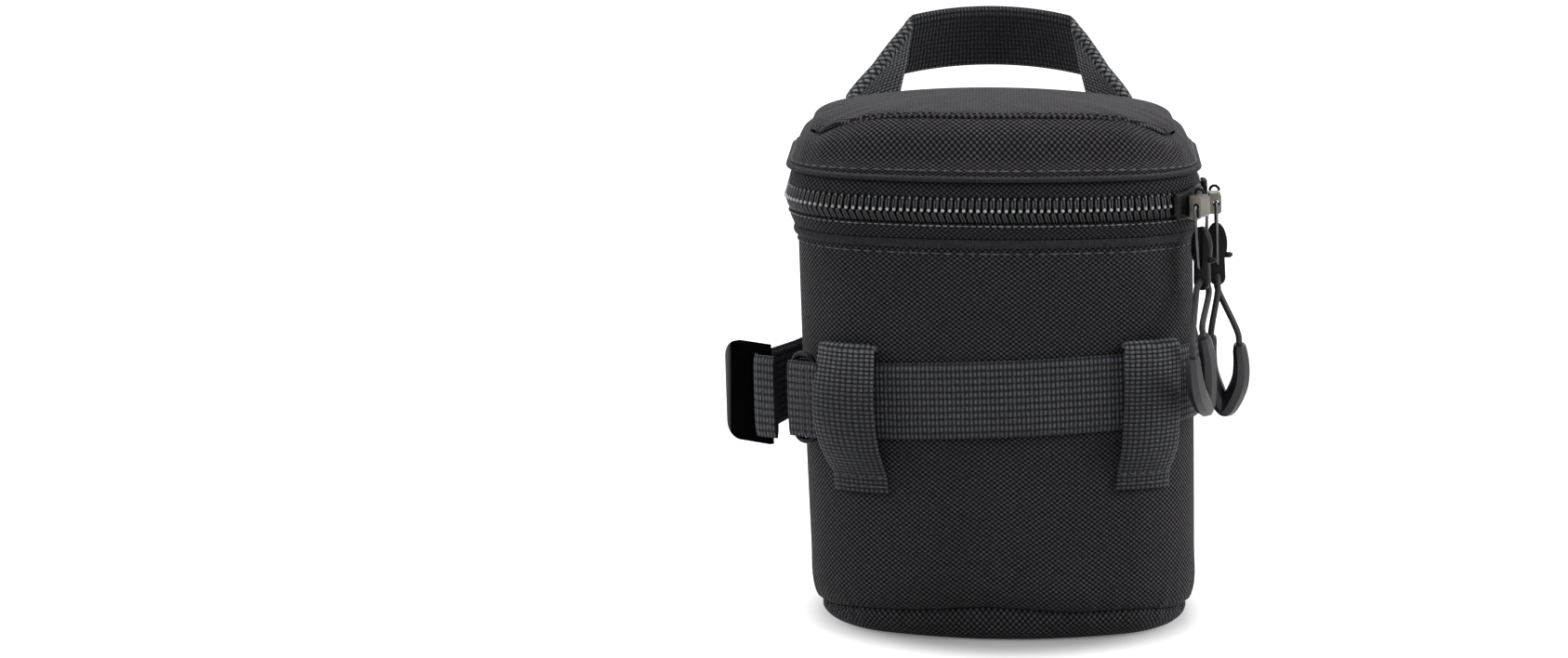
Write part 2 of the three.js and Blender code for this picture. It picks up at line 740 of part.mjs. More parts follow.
function makeLoop(name, side, middleReach, tilt, lift) {
  const flatOffset = seatGap + webbingHalf;
  const turnHeight = loopTop - webbingHalf - loopFoldRadius;
  const rise = (share) => flatOffset + (loopStand - flatOffset) * Math.sin(Math.min(1, share * loopRiseShare) * Math.PI / 2);
  const path = loopPathShares.map((share) => {
    const standing = Math.max(0, (share - loopPathShares[1]) / (1 - loopPathShares[1]));
    return [rise(standing), loopBottom + (turnHeight - loopBottom) * share];
  });
  const turn = Array.from({ length: turnSteps + 1 }, (_, k) => {
    const angle = Math.PI * (k / turnSteps);
    return [loopCrownStand - loopFoldRadius * (1 - Math.cos(angle)), turnHeight + loopFoldRadius * Math.sin(angle)];
  });
  const middle = frontMiddle + side * middleReach;
  const across = spread(-loopWidth / 2, loopWidth / 2, loopWidth / loopAcrossSteps);
  const grid = [...path, ...turn].map(([offset, z]) => across.map((reach) => {
    const shift = side * tilt * ((z - loopBottom) / (loopTop - loopBottom) - 1);
    const station = planAt(middle + shift + reach);
    return offsetPoint(station, offset + bodyOffset(z), z + lift);
  }));
  addPiece(name, ribbon(withFaces(grid), webbingThickness, false), webbingCloth);
}

// Closed or open wire: a round section carried along points that lie in one plane
function wire(points, planeNormal, radius, closed, sides) {
  const count = points.length;
  const rows = points.map((point, k) => {
    const before = points[closed ? (k + count - 1) % count : Math.max(0, k - 1)];
    const after = points[closed ? (k + 1) % count : Math.min(count - 1, k + 1)];
    const side = after.clone().sub(before).normalize().cross(planeNormal).normalize();
    const size = Array.isArray(radius) ? radius[k] : radius;
    return Array.from({ length: sides }, (_, j) => {
      const angle = 2 * Math.PI * (j / sides);
      return point.clone()
        .addScaledVector(side, size * Math.cos(angle))
        .addScaledVector(planeNormal, size * Math.sin(angle));
    });
  });
  return gridSolid(rows, closed, true);
}

// Corner points of a rectangle with round corners, as pairs
function roundRectangle(width, height, radius) {
  const corners = [[1, 1], [-1, 1], [-1, -1], [1, -1]];
  return corners.flatMap(([sx, sy], corner) => Array.from({ length: turnSteps }, (_, k) => {
    const angle = (corner + k / (turnSteps - 1)) * Math.PI / 2;
    return [
      sx * (width / 2 - radius) + radius * Math.cos(angle),
      sy * (height / 2 - radius) + radius * Math.sin(angle),
    ];
  }));
}

// Ring: a wire frame that lies flat between the two layers of the belt's fold
function makeRing() {
  const way = new THREE.Vector3(-freeWay.x, -freeWay.y, 0);
  const middle = new THREE.Vector3(ringRod.x, ringRod.y, 0).addScaledVector(way, ringWidth / 2);
  middle.z = beltMiddleHeight + beltTiltShare * middle.x;
  const points = roundRectangle(ringWidth, ringHeight, ringCornerRadius).map(([a, b]) =>
    middle.clone().addScaledVector(way, a).add(new THREE.Vector3(0, 0, b)));
  const normal = new THREE.Vector3(way.y, -way.x, 0);
  addPiece('belt_ring', wire(points, normal, ringWire / 2, true, wireSides), blackMetal);
}

// Plate: a bowed moulding with a window, beside the bar that the strap turns round
function makePlate() {
  const left = -(plateBarWidth / 2 + plateWidth - plateBarWidth);
  const right = plateBarWidth / 2;
  const half = plateHeight / 2;
  const outline = new THREE.Shape();
  outline.moveTo(right, -half);
  outline.lineTo(right, half);
  outline.lineTo(left + plateCornerRadius, half);
  outline.absarc(left + plateCornerRadius, half - plateCornerRadius, plateCornerRadius, Math.PI / 2, Math.PI, false);
  outline.absarc(left + plateCornerRadius, plateCornerRadius - half, plateCornerRadius, Math.PI, Math.PI * 3 / 2, false);
  outline.closePath();
  const windowHalf = beltWidth / 2 + plateWindowClearance;
  const windowRight = -plateBarWidth / 2;
  const windowLeft = windowRight - plateWindowWidth;
  const opening = new THREE.Path();
  opening.moveTo(windowRight, -windowHalf);
  opening.lineTo(windowLeft, -windowHalf);
  opening.lineTo(windowLeft, windowHalf);
  opening.lineTo(windowRight, windowHalf);
  opening.closePath();
  outline.holes.push(opening);
  const geometry = new THREE.ExtrudeGeometry(outline, {
    depth: plateThickness - 2 * blockChamfer,
    bevelEnabled: true,
    bevelThickness: blockChamfer,
    bevelSize: blockChamfer,
    bevelOffset: -blockChamfer,
    bevelSegments: 1,
    curveSegments: turnSteps,
  });
  geometry.translate(0, 0, blockChamfer - plateThickness / 2);
  const way = new THREE.Vector3(-plateWay.x, -plateWay.y, 0);
  const up = new THREE.Vector3(0, 0, 1);
  const face = new THREE.Vector3().crossVectors(way, up);
  geometry.applyMatrix4(new THREE.Matrix4().makeBasis(way, up, face));
  geometry.translate(plateBar.x, plateBar.y, beltMiddleHeight - strapDrop + beltTiltShare * plateBar.x);
  addPiece('buckle_plate', fromManifold(toManifold(geometry)), blackPlastic);
}

// Handle: the flat strip is rolled over a diagonal of the leg, bent round an upright cylinder, leant
// inwards towards its top edge and arched. Along is measured from the left foot, across from the
// edge that is outside on the leg and below on the band.
function handlePoint(along, across, half) {
  const mirrored = along > half;
  const u = mirrored ? 2 * half - along : along;
  const legHeight = u - handleSink;
  const root = Math.SQRT2;
  const beyond = (legHeight - across) / root;
  const beside = (legHeight + across) / root;
  const rolled = Math.PI * handleFoldRadius;
  const turn = Math.min(Math.max(beyond, 0) / handleFoldRadius, Math.PI);
  const reach = beyond < 0 ? beyond : handleFoldRadius * Math.sin(turn) - Math.max(0, beyond - rolled);
  const layer = handleFoldRadius * (1 - Math.cos(turn));
  const sweep = -handleLegReach + (beside - reach) / root;
  const rise = (beside + reach) / root;
  const leanShare = Math.min(1, Math.max(0, rise / handleWidth));
  const radius = handleRadius + layer - handleLean * leanShare ** handleLeanShare;
  const angle = sweep / handleRadius;
  const arch = handleArch * (1 - (sweep / handleLegReach) ** 2);
  const x = radius * Math.sin(angle);
  const z = handleFoldHeight + rise * (rise > 0 ? handleRiseShare : 1) + arch;
  return new THREE.Vector3(mirrored ? -x : x, handleCentreY + radius * Math.cos(angle), z);
}

function makeHandle() {
  const half = handleLegReach + handleSink + Math.PI * handleFoldRadius / Math.SQRT2;
  const across = spread(0, handleWidth, handleWidth / handleAcrossSteps);
  const foldEnd = handleSink + Math.SQRT2 * Math.PI * handleFoldRadius;
  // Rows turn from square across the foot to the slant of the fold, and back to square at the middle
  const firstHalf = [
    ...spread(0, 1, 1 / handleFootSteps).map((share) => (reach) => share * (handleSink + reach)),
    ...spread(0, 1, 1 / handleFoldSteps).slice(1).map((share) => (reach) =>
      handleSink + (foldEnd - handleSink) * share + reach),
    ...spread(0, 1, 1 / handleBandSteps).slice(1).map((share) => (reach) =>
      foldEnd + (half - foldEnd) * share + reach * (1 - share)),
  ];
  const secondHalf = firstHalf.slice(0, -1).reverse().map((row) => (reach) => 2 * half - row(reach));
  const grid = [...firstHalf, ...secondHalf].map((row) => across.map((reach) => handlePoint(row(reach), reach, half)));
  const strip = ribbon(withFaces(grid), webbingThickness, false);
  addPiece('handle_webbing', cut(strip, lidEnvelope()), webbingCloth);
}

// Frame on the zip at a distance along the plan: forward along the zip, outwards and up from a
// place that lies the given drop below the mesh line
function zipFrame(s, drop) {
  const station = planAt(s);
  return {
    origin: new THREE.Vector3(station.x, station.y, meshHeight - drop),
    along: new THREE.Vector3(station.ny, -station.nx, 0),
    out: new THREE.Vector3(station.nx, station.ny, 0),
    up: new THREE.Vector3(0, 0, 1),
  };
}

function place(frame, along, out, up) {
  return frame.origin.clone()
    .addScaledVector(frame.along, along)
    .addScaledVector(frame.out, out)
    .addScaledVector(frame.up, up);
}

// Geometry drawn with x along the zip, y outwards and z up is set into the frame
function setIn(frame, geometry) {
  const basis = new THREE.Matrix4().makeBasis(frame.along, frame.out, frame.up).setPosition(frame.origin);
  return geometry.applyMatrix4(basis);
}

function slab(middle, length, inner, outer, bottom, top, chamfer) {
  return planStrip(spread(middle - length / 2, middle + length / 2, length / slabSteps), () => [
    [inner, bottom],
    [outer - chamfer, bottom],
    [outer, bottom + chamfer],
    [outer, top - chamfer],
    [outer - chamfer, top],
    [inner, top],
  ]);
}

const sliderOutlineShares = [[0, 0.5], [0.07, 0.75], [0.35, 0.8], [0.62, 0.95], [0.85, 1], [0.95, 0.88], [1, 0.66]];
const plateOuterFace = rowOuter + sliderClearance + sliderPlateThickness;

// Slider: an outer and an inner plate joined by the post at its nose. Nose 1 points back, -1 forward.
function makeSlider(name, middle, nose, drop) {
  const tail = middle - nose * sliderLength / 2;
  const plate = (inner, outer, chamfer) => {
    const rows = sliderOutlineShares.map(([along, height]) => [tail + nose * sliderLength * along, height * sliderHalfHeight]);
    return gridSolid(rows.map(([s, half]) => {
      const station = planAt(s);
      const bottom = meshHeight - half;
      const top = meshHeight + half;
      return [
        [inner, bottom], [outer - chamfer, bottom], [outer, bottom + chamfer],
        [outer, top - chamfer], [outer - chamfer, top], [inner, top],
      ].map(([offset, z]) => offsetPoint(station, offset, z));
    }), false, true);
  };
  const outerPlate = plate(rowOuter + sliderClearance, plateOuterFace, sliderChamfer);
  const innerFace = rowInner - sliderClearance;
  const innerPlate = plate(innerFace - sliderPlateThickness, innerFace, 0);
  const postMiddle = middle + nose * (sliderLength / 2 - sliderPostLength);
  const postHalf = sliderPostHeight / 2;
  const post = slab(postMiddle, sliderPostLength, innerFace - sliderPlateThickness / 2,
    plateOuterFace - sliderPlateThickness / 2, meshHeight - postHalf, meshHeight + postHalf, 0);
  addPiece(`${name}_slider`, join(outerPlate, innerPlate, post), blackMetal);

  const blockInner = plateOuterFace + seatGap;
  const blockTop = blockHeight / 2 - blockDrop;
  const blockOuter = blockInner + blockThickness;
  const blockBottom = blockTop - blockHeight;
  const frame = zipFrame(middle, drop);
  const block = gridSolid([-blockLength / 2, blockLength / 2].map((along) => [
    [blockInner, blockBottom],
    [blockOuter - blockChamfer, blockBottom],
    [blockOuter, blockBottom + blockChamfer],
    [blockOuter, blockTop - blockChamfer],
    [blockOuter - blockChamfer, blockTop],
    [blockInner, blockTop],
  ].map(([out, up]) => place(frame, along, out, up))), false, true);
  const bore = new THREE.CylinderGeometry(bailBore / 2, bailBore / 2, 2 * blockLength, boreSides);
  bore.rotateZ(Math.PI / 2);
  bore.translate(0, pullOut, -bailRodDrop);
  addPiece(`${name}_slider_block`, cut(block, setIn(frame, bore)), greyMetal);

  // Crown: a small arch of wire over the top of the block
  const crown = Array.from({ length: turnSteps + 1 }, (_, k) => {
    const angle = Math.PI * (k / turnSteps);
    const out = blockInner + blockThickness / 2 + crownReach * Math.cos(angle);
    return place(frame, 0, out, blockTop + seatGap + crownRise * Math.sin(angle));
  });
  addPiece(`${name}_slider_crown`, wire(crown, frame.along, crownWire / 2, false, wireSides), blackMetal);
}

// Pull: everything on it turns about the bail's top rod, which runs through the block along the zip
const pullOut = plateOuterFace + seatGap + blockThickness * pullOutShare;

function makePull(name, middle, grip, drop) {
  const frame = zipFrame(middle, drop);
  const topHalf = blockLength / 2 + seatGap + bailWire / 2;
  const bottomZ = -bailRodDrop - bailLength;
  const corner = bailWire;
  const turned = (cx, cz, from) => Array.from({ length: turnSteps }, (_, k) => {
    const angle = from + (Math.PI / 2) * (k / (turnSteps - 1));
    return [cx + corner * Math.cos(angle), cz + corner * Math.sin(angle)];
  });
  const loop = [
    ...turned(topHalf - corner, -bailRodDrop - corner, 0),
    ...turned(corner - topHalf, -bailRodDrop - corner, Math.PI / 2),
    ...turned(corner - bailBottomHalf, bottomZ + corner, Math.PI),
    ...turned(bailBottomHalf - corner, bottomZ + corner, Math.PI * 3 / 2),
  ];
  const points = loop.map(([along, up]) => place(frame, along, pullOut, up));
  addPiece(`${name}_pull_bail`, wire(points, frame.out, bailWire / 2, true, wireSides), blackMetal);

  const linkShape = new THREE.Shape();
  const neck = linkNeckWidth / 2;
  const linkTop = -bailRodDrop - linkTopDrop;
  const ovalMiddle = linkTop - linkOvalLength / 2;
  const linkBottom = -bailRodDrop - linkLength;
  const neckShoulder = ovalMiddle - linkOvalLength * neckShoulderShare;
  linkShape.absellipse(pullOut, ovalMiddle, linkWidth / 2, linkOvalLength / 2, -Math.PI * neckFromShare, Math.PI * (1 + neckFromShare), false, 0);
  linkShape.lineTo(pullOut - neck, neckShoulder);
  linkShape.lineTo(pullOut - neck, linkBottom + neck);
  linkShape.absarc(pullOut, linkBottom + neck, neck, Math.PI, 2 * Math.PI, false);
  linkShape.lineTo(pullOut + neck, neckShoulder);
  linkShape.closePath();
  const body = new THREE.ExtrudeGeometry(linkShape, { depth: linkThickness, bevelEnabled: false, curveSegments: linkSegments });
  // The outline is drawn outwards and up, and its thickness runs along the zip
  const swap = new THREE.Matrix4().makeBasis(new THREE.Vector3(0, 1, 0), new THREE.Vector3(0, 0, 1), new THREE.Vector3(1, 0, 0));
  body.translate(0, 0, -linkThickness / 2);
  body.applyMatrix4(swap);
  const hole = (diameter, up) => {
    const tool = new THREE.CylinderGeometry(diameter / 2, diameter / 2, 2 * linkThickness, boreSides);
    tool.rotateZ(Math.PI / 2);
    return tool.translate(0, pullOut, up);
  };
  const nub = new THREE.CylinderGeometry(linkNubRadius, linkNubRadius, linkNubLength + neck, boreSides);
  nub.translate(0, pullOut + (linkNubLength + neck) / 2, bottomZ + linkNubRise);
  const cordUp = -bailRodDrop - linkCordDrop;
  const solid = cut(join(body, nub), hole(bailBore, bottomZ), hole(cordBore, cordUp));
  addPiece(`${name}_pull_link`, setIn(frame, solid), softPlastic);
  makeGripAndCord(name, frame, cordUp, grip);
}

function makeGripAndCord(name, frame, cordUp, grip) {
  const turn = new THREE.Euler(
    THREE.MathUtils.degToRad(grip.lean),
    THREE.MathUtils.degToRad(grip.tilt),
    THREE.MathUtils.degToRad(grip.heading),
    'ZXY',
  );
  const tip = place(frame, 0, pullOut, -grip.down);
  tip.x += grip.right;
  tip.y += grip.back;
  const basis = new THREE.Matrix4().makeRotationFromEuler(turn).setPosition(tip);
  const path = gripPathShares.map(({ across, up }) =>
    new THREE.Vector3(gripHalf * across, 0, gripHeight * up).applyMatrix4(basis));
  const planeNormal = new THREE.Vector3(0, 1, 0).transformDirection(basis);
  const sizes = gripPathShares.map(({ thick }) => gripRadius * thick);
  const body = wire(path, planeNormal, sizes, false, gripSides);
  const mouths = [[path[0], path[1]], [path[path.length - 1], path[path.length - 2]]].map(([mouth, next]) => ({
    mouth,
    inward: next.clone().sub(mouth).normalize(),
  }));
  const bores = mouths.map(({ mouth, inward }) => {
    const bore = new THREE.CylinderGeometry(cordDiameter / 2 + seatGap, cordDiameter / 2 + seatGap, 2 * gripMouthDepth, boreSides);
    bore.applyQuaternion(new THREE.Quaternion().setFromUnitVectors(new THREE.Vector3(0, 1, 0), inward));
    return bore.translate(mouth.x, mouth.y, mouth.z);
  });
  addPiece(`${name}_pull_grip`, cut(body, ...bores), softPlastic);

  // The cord is one piece: up from one mouth, through the link's lower bore and down to the other
  const turnMiddle = cordUp - cordTurnRadius;
  const hang = (side) => place(frame, side * cordTurnRadius, pullOut, turnMiddle);
  const forwardFirst = hang(1).distanceTo(mouths[0].mouth) < hang(-1).distanceTo(mouths[0].mouth);
  const [first, second] = forwardFirst ? mouths : [...mouths].reverse();
  const arc = Array.from({ length: cordTurnSteps + 1 }, (_, k) => {
    const angle = Math.PI * (k / cordTurnSteps);
    return place(frame, cordTurnRadius * Math.cos(angle), pullOut, turnMiddle + cordTurnRadius * Math.sin(angle));
  });
  const endAt = ({ mouth, inward }) => mouth.clone().addScaledVector(inward, cordSeat);
  const aboveAt = ({ mouth, inward }) => mouth.clone().addScaledVector(inward, -cordSeat);
  const route = new THREE.CatmullRomCurve3([
    endAt(first), first.mouth, aboveAt(first), ...arc, aboveAt(second), second.mouth, endAt(second),
  ], false, 'centripetal');
  const circle = new THREE.Shape(Array.from({ length: cordSides }, (_, k) => {
    const angle = 2 * Math.PI * (k / cordSides);
    return new THREE.Vector2(Math.cos(angle), Math.sin(angle)).multiplyScalar(cordDiameter / 2);
  }));
  const steps = Math.round(route.getLength() / cordStep);
  const cord = new THREE.ExtrudeGeometry(circle, { steps, extrudePath: route, bevelEnabled: false });
  addPiece(`${name}_pull_cord`, cord, cordCloth);
}

makeBody();
makeBackPanel();
makeZipHalf('lower', -1);
makeZipHalf('upper', 1);
makeHingePanel();
makeLid();
makeBelt();
makeLoop('left_belt_loop', -1, leftLoopReach, leftLoopLean, leftLoopLift);
makeLoop('right_belt_loop', 1, rightLoopReach, rightLoopLean, rightLoopLift);
makeRing();
makePlate();
makeHandle();
makeSlider('front', frontSliderMiddle, 1, 0);
makeSlider('rear', rearSliderMiddle, -1, rearPullDrop);
makePull('front', frontSliderMiddle, frontGrip, 0);
makePull('rear', rearSliderMiddle, rearGrip, rearPullDrop);

export default part;
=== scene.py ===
# Looks of a padded lens pouch: woven nylon shell and lid, coil zip, webbing belt, folded strap
# handle and two hanging zip pulls. Sizes are in millimetres and repeat those of the CAD part.
import math
import bpy
import bmesh
import numpy as np
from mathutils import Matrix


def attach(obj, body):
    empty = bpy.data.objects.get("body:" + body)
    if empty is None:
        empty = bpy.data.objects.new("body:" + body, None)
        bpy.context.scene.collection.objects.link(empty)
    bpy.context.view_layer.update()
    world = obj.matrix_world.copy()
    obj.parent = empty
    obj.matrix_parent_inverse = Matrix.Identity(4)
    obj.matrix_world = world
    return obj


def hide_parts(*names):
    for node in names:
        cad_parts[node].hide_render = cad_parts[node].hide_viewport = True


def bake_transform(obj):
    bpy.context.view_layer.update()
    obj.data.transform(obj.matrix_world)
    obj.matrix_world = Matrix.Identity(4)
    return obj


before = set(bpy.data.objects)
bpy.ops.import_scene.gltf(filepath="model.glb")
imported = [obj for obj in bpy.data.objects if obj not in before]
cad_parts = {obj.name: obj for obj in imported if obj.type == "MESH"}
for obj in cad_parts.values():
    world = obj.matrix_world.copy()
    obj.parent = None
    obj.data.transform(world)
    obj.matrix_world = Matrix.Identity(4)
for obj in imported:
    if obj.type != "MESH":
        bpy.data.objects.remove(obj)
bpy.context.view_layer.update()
mm = 0.001
pi = math.pi

planSizes = {
    "halfWidth": 49.5, "frontReach": 45.0, "backReach": 46.0, "sideFront": 17.0,
    "sideBack": 22.0, "frontCorner": 24.0, "backCorner": 22.0, "lean": 0.03,
    "rim": 100.2, "wall": 92.2, "drawIn": 1.2,
}


# The plan seen from above is a chain of arcs and straight sides, walked anticlockwise from the
# middle of the back. Each row holds centre x, centre y, radius, first angle, sweep and run along y.
def makePlan(p):
    def arcRadius(reach, corner, side):
        across, depth = p["halfWidth"] - corner, reach - side
        return (across ** 2 + depth ** 2 - corner ** 2) / (2 * (depth - corner))
    frontRadius = arcRadius(p["frontReach"], p["frontCorner"], p["sideFront"])
    backRadius = arcRadius(p["backReach"], p["backCorner"], p["sideBack"])
    fx, bx = p["halfWidth"] - p["frontCorner"], p["halfWidth"] - p["backCorner"]
    frontHalf = math.asin(fx / (frontRadius - p["frontCorner"]))
    backHalf = math.asin(bx / (backRadius - p["backCorner"]))
    q, backY = pi / 2, p["backReach"] - backRadius
    table = np.array([
        (0, backY, backRadius, q, backHalf, 0),
        (-bx, p["sideBack"], p["backCorner"], q + backHalf, q - backHalf, 0),
        (-p["halfWidth"], p["sideBack"], 0, 2 * q, 0, -1),
        (-fx, -p["sideFront"], p["frontCorner"], 2 * q, q - frontHalf, 0),
        (0, frontRadius - p["frontReach"], frontRadius, 3 * q - frontHalf, 2 * frontHalf, 0),
        (fx, -p["sideFront"], p["frontCorner"], 3 * q + frontHalf, q - frontHalf, 0),
        (p["halfWidth"], -p["sideFront"], 0, 4 * q, 0, 1),
        (bx, p["sideBack"], p["backCorner"], 4 * q, q - backHalf, 0),
        (0, backY, backRadius, 5 * q - backHalf, backHalf, 0),
    ])
    lengths = np.where(table[:, 2] > 0, table[:, 2] * table[:, 4], p["sideFront"] + p["sideBack"])
    return table, lengths, np.concatenate([[0], np.cumsum(lengths)])


planTable, planLengths, planStarts = makePlan(planSizes)
planLength = planStarts[-1]


# Place and outward direction at distances along the plan: x, y, nx, ny
def planAt(distance):
    s = np.mod(np.asarray(distance, float), planLength)
    k = np.clip(np.searchsorted(planStarts, s, side="right") - 1, 0, len(planTable) - 1)
    cx, cy, radius, first, sweep, run = (planTable[k, c] for c in range(6))
    rest = s - planStarts[k]
    turn = first + sweep * rest / planLengths[k]
    nx, ny = np.cos(turn), np.sin(turn)
    return cx + radius * nx, cy + radius * ny + run * rest, nx, ny


# Distances round the whole plan as a column, and the same closed and in metres for the UV map
def planRing(count):
    s = np.linspace(0, planLength, count, endpoint=False)[:, None]
    return s, np.append(s[:, 0], planLength) * mm


# The standing pouch leans a little to its left: x moves by a share of the height
def leaned(points):
    moved = np.array(points, float)
    moved[..., 0] -= planSizes["lean"] * moved[..., 2]
    return moved


# Points in metres: the plan's point moved outwards by offset, at height z
def onPlan(distance, offset, z):
    x, y, nx, ny = planAt(distance)
    x, y, z = np.broadcast_arrays(x + offset * nx, y + offset * ny, z)
    return np.stack([x, y, z], -1) * mm


# The shell draws in a little towards the base: offset falls with the square of the depth
def bodyOffset(z):
    return -planSizes["drawIn"] * np.clip((planSizes["rim"] - z) / planSizes["wall"], 0, 1) ** 2


# A smooth curve through the points of a table, read at t from 0 to 1 (Catmull-Rom spline)
def smoothThrough(points, t):
    p = np.asarray(points, float)
    p = np.concatenate([[2 * p[0] - p[1]], p, [2 * p[-1] - p[-2]]])
    n = len(p) - 3
    u = np.clip(np.asarray(t, float), 0, 1) * n
    k = np.minimum(u.astype(int), n - 1)
    f = (u - k)[..., None] if p.ndim > 1 else u - k
    a, b, c, d = p[k], p[k + 1], p[k + 2], p[k + 3]
    return 0.5 * (2 * b + (c - a) * f + (2 * a - 5 * b + 4 * c - d) * f ** 2
                  + (3 * b - a - 3 * c + d) * f ** 3)


# Vectors of length 1: each is divided by its own length
def unit(v):
    return v / np.maximum(np.linalg.norm(v, axis=-1, keepdims=True), 1e-12)


# Unit circles of points about two crossed directions: cos(angle) a + sin(angle) b
def circles(sides, a, b):
    angle = 2 * pi * np.arange(sides)[:, None] / sides
    return np.cos(angle) * a[..., None, :] + np.sin(angle) * b[..., None, :]


# Distance walked along a path at each of its points
def runAlong(path, closed=False):
    steps = np.linalg.norm(np.diff(path, axis=0), axis=1)
    if closed:
        steps = np.append(steps, np.linalg.norm(path[0] - path[-1]))
    return np.concatenate([[0], np.cumsum(steps)])


# The faces point inwards where the volume that they span comes out negative
def facesInward(points, quads):
    a, b, c, d = (points[quads[:, k]] for k in range(4))
    return np.einsum("ij,ij->", a, np.cross(b, c)) + np.einsum("ij,ij->", a, np.cross(c, d)) < 0


# A new object of the given data, put into the scene
def addObject(name, data):
    obj = bpy.data.objects.new(name, data)
    bpy.context.scene.collection.objects.link(obj)
    return obj


# A smoothly shaded object of points and faces
def addMesh(name, points, faces):
    mesh = bpy.data.meshes.new(name)
    mesh.from_pydata(points.reshape(-1, 3).tolist(), [], faces)
    mesh.polygons.foreach_set("use_smooth", np.ones(len(faces), bool))
    return addObject(name, mesh)


# Mesh over a grid of points. Rows follow the form, columns go round its section. Open directions
# are closed by a flat end. u and v give the piece's own UV map in metres, one more value than
# there are rows or columns where that direction closes on itself.
def gridMesh(name, points, wrapRows, wrapColumns, u, v, sharp=None):
    rows, columns = points.shape[:2]
    spans = np.arange(rows - (not wrapRows)), np.arange(columns - (not wrapColumns))
    i, j = np.meshgrid(*spans, indexing="ij")
    at = lambda a, b: (a % rows) * columns + b % columns
    quads = np.stack([at(i, j), at(i + 1, j), at(i + 1, j + 1), at(i, j + 1)], -1).reshape(-1, 4)
    flat = leaned(points).reshape(-1, 3)
    flip = facesInward(flat, quads)
    order = [0, 3, 2, 1] if flip else [0, 1, 2, 3]
    ends = []
    if wrapColumns and not wrapRows:
        ends = [at(0, np.arange(columns)), at(rows - 1, np.arange(columns))[::-1]]
    if wrapRows and not wrapColumns:
        ends = [at(np.arange(rows), 0)[::-1], at(np.arange(rows), columns - 1)]
    faces = quads[:, order].tolist() + [(end[::-1] if flip else end).tolist() for end in ends]
    obj = addMesh(name, flat, faces)
    for k in range(len(ends)):
        obj.data.polygons[-1 - k].use_smooth = False
    grid = np.stack(np.broadcast_arrays(u, v) if np.ndim(u) > 1 else np.meshgrid(u, v, indexing="ij"), -1)
    corners = np.stack([grid[i, j], grid[i + 1, j], grid[i + 1, j + 1], grid[i, j + 1]], 2)
    values = corners.reshape(-1, 4, 2)[:, order].reshape(-1, 2)
    values = np.concatenate([values, np.zeros((sum(map(len, ends)), 2))])
    obj.data.uv_layers.new(name="cloth").data.foreach_set("uv", values.astype(np.float32).ravel())
    if sharp:
        obj.data.set_sharp_from_angle(angle=math.radians(sharp))
    return obj


# Section points round a path: a circle, or an oval by flat, across each point's run
def tubePoints(path, radius, sides, reference, closed=False, flat=1.0):
    tangent = unit(np.roll(path, -1, 0) - np.roll(path, 1, 0) if closed else np.gradient(path, axis=0))
    side = unit(np.cross(tangent, reference))
    radius = np.broadcast_to(np.asarray(radius, float), len(path))[:, None, None]
    return path[:, None] + radius * circles(sides, side, flat * np.cross(side, tangent))


# A round tube along a path, with its cloth map in real metres along and around
def tube(name, path, radius, sides, reference, closed=False):
    points = tubePoints(path, radius, sides, reference, closed)
    around = np.linspace(0, 2 * pi * float(np.mean(radius)), sides + 1)
    return gridMesh(name, points, closed, True, runAlong(path, closed), around)


# A strap's solid: the middle surface moved both ways along its normal, thinner at its two edges.
# Rows run along the strap and columns across it.
def strap(name, middle, thickness, u, v):
    normal = unit(np.cross(np.gradient(middle, axis=0), np.gradient(middle, axis=1)))
    edge = np.linspace(-1, 1, middle.shape[1])
    half = 0.5 * thickness * (0.3 + 0.7 * (1 - edge ** 4) ** 0.5)[:, None]
    section = np.concatenate([middle + normal * half, (middle - normal * half)[:, ::-1]], 1)
    both = (np.broadcast_to(q, middle.shape[:2]) for q in (u, v))
    return gridMesh(name, section, False, True, *(np.concatenate([q, q[:, ::-1], q[:, :1]], 1) for q in both))


# Share of painted highlight, drawn as paler yarn, at each point of a strap, the same on its two faces
def setPaintedHighlightShare(obj, share):
    both = np.concatenate([share, share[:, ::-1]], 1).ravel().astype(np.float32)
    obj.data.attributes.new("paintedHighlightShare", "FLOAT", "POINT").data.foreach_set("value", both)


# A rounded copy of a CAD solid: doubles merged, flat faces joined again, edges bevelled
def roundedCopy(name, node, width, segments=2):
    form = bmesh.new()
    form.from_mesh(bpy.data.objects[node].data)
    bmesh.ops.remove_doubles(form, verts=form.verts, dist=2e-6)
    bmesh.ops.dissolve_limit(form, angle_limit=math.radians(3), verts=form.verts, edges=form.edges)
    bmesh.ops.recalc_face_normals(form, faces=form.faces)
    mesh = bpy.data.meshes.new(name)
    form.to_mesh(mesh)
    form.free()
    mesh.polygons.foreach_set("use_smooth", np.ones(len(mesh.polygons), bool))
    mesh.set_sharp_from_angle(angle=math.radians(50))
    obj = addObject(name, mesh)
    bevel = obj.modifiers.new("edges", "BEVEL")
    bevel.width, bevel.segments = width * mm, segments
    bevel.limit_method, bevel.angle_limit = "ANGLE", math.radians(28)
    return obj


# One mesh of many small closed grids with the same layout: count, rings, sides, 3
def manyGrids(name, points):
    count, rings, sides = points.shape[:3]
    i, j = np.meshgrid(np.arange(rings - 1), np.arange(sides), indexing="ij")
    k = (j + 1) % sides
    corners = [i * sides + j, (i + 1) * sides + j, (i + 1) * sides + k, i * sides + k]
    quads = np.stack(corners, -1).reshape(-1, 4)
    caps = [np.arange(sides), (rings - 1) * sides + np.arange(sides)[::-1]]
    first = points[0].reshape(-1, 3)
    if facesInward(first - first.mean(0), quads):
        quads, caps = quads[:, ::-1], [cap[::-1] for cap in caps]
    base = (np.arange(count) * rings * sides)[:, None, None]
    faces = (base + quads[None]).reshape(-1, 4).tolist()
    for cap in caps:
        faces += (base[:, 0] + cap[None]).tolist()
    return addMesh(name, leaned(points), faces)


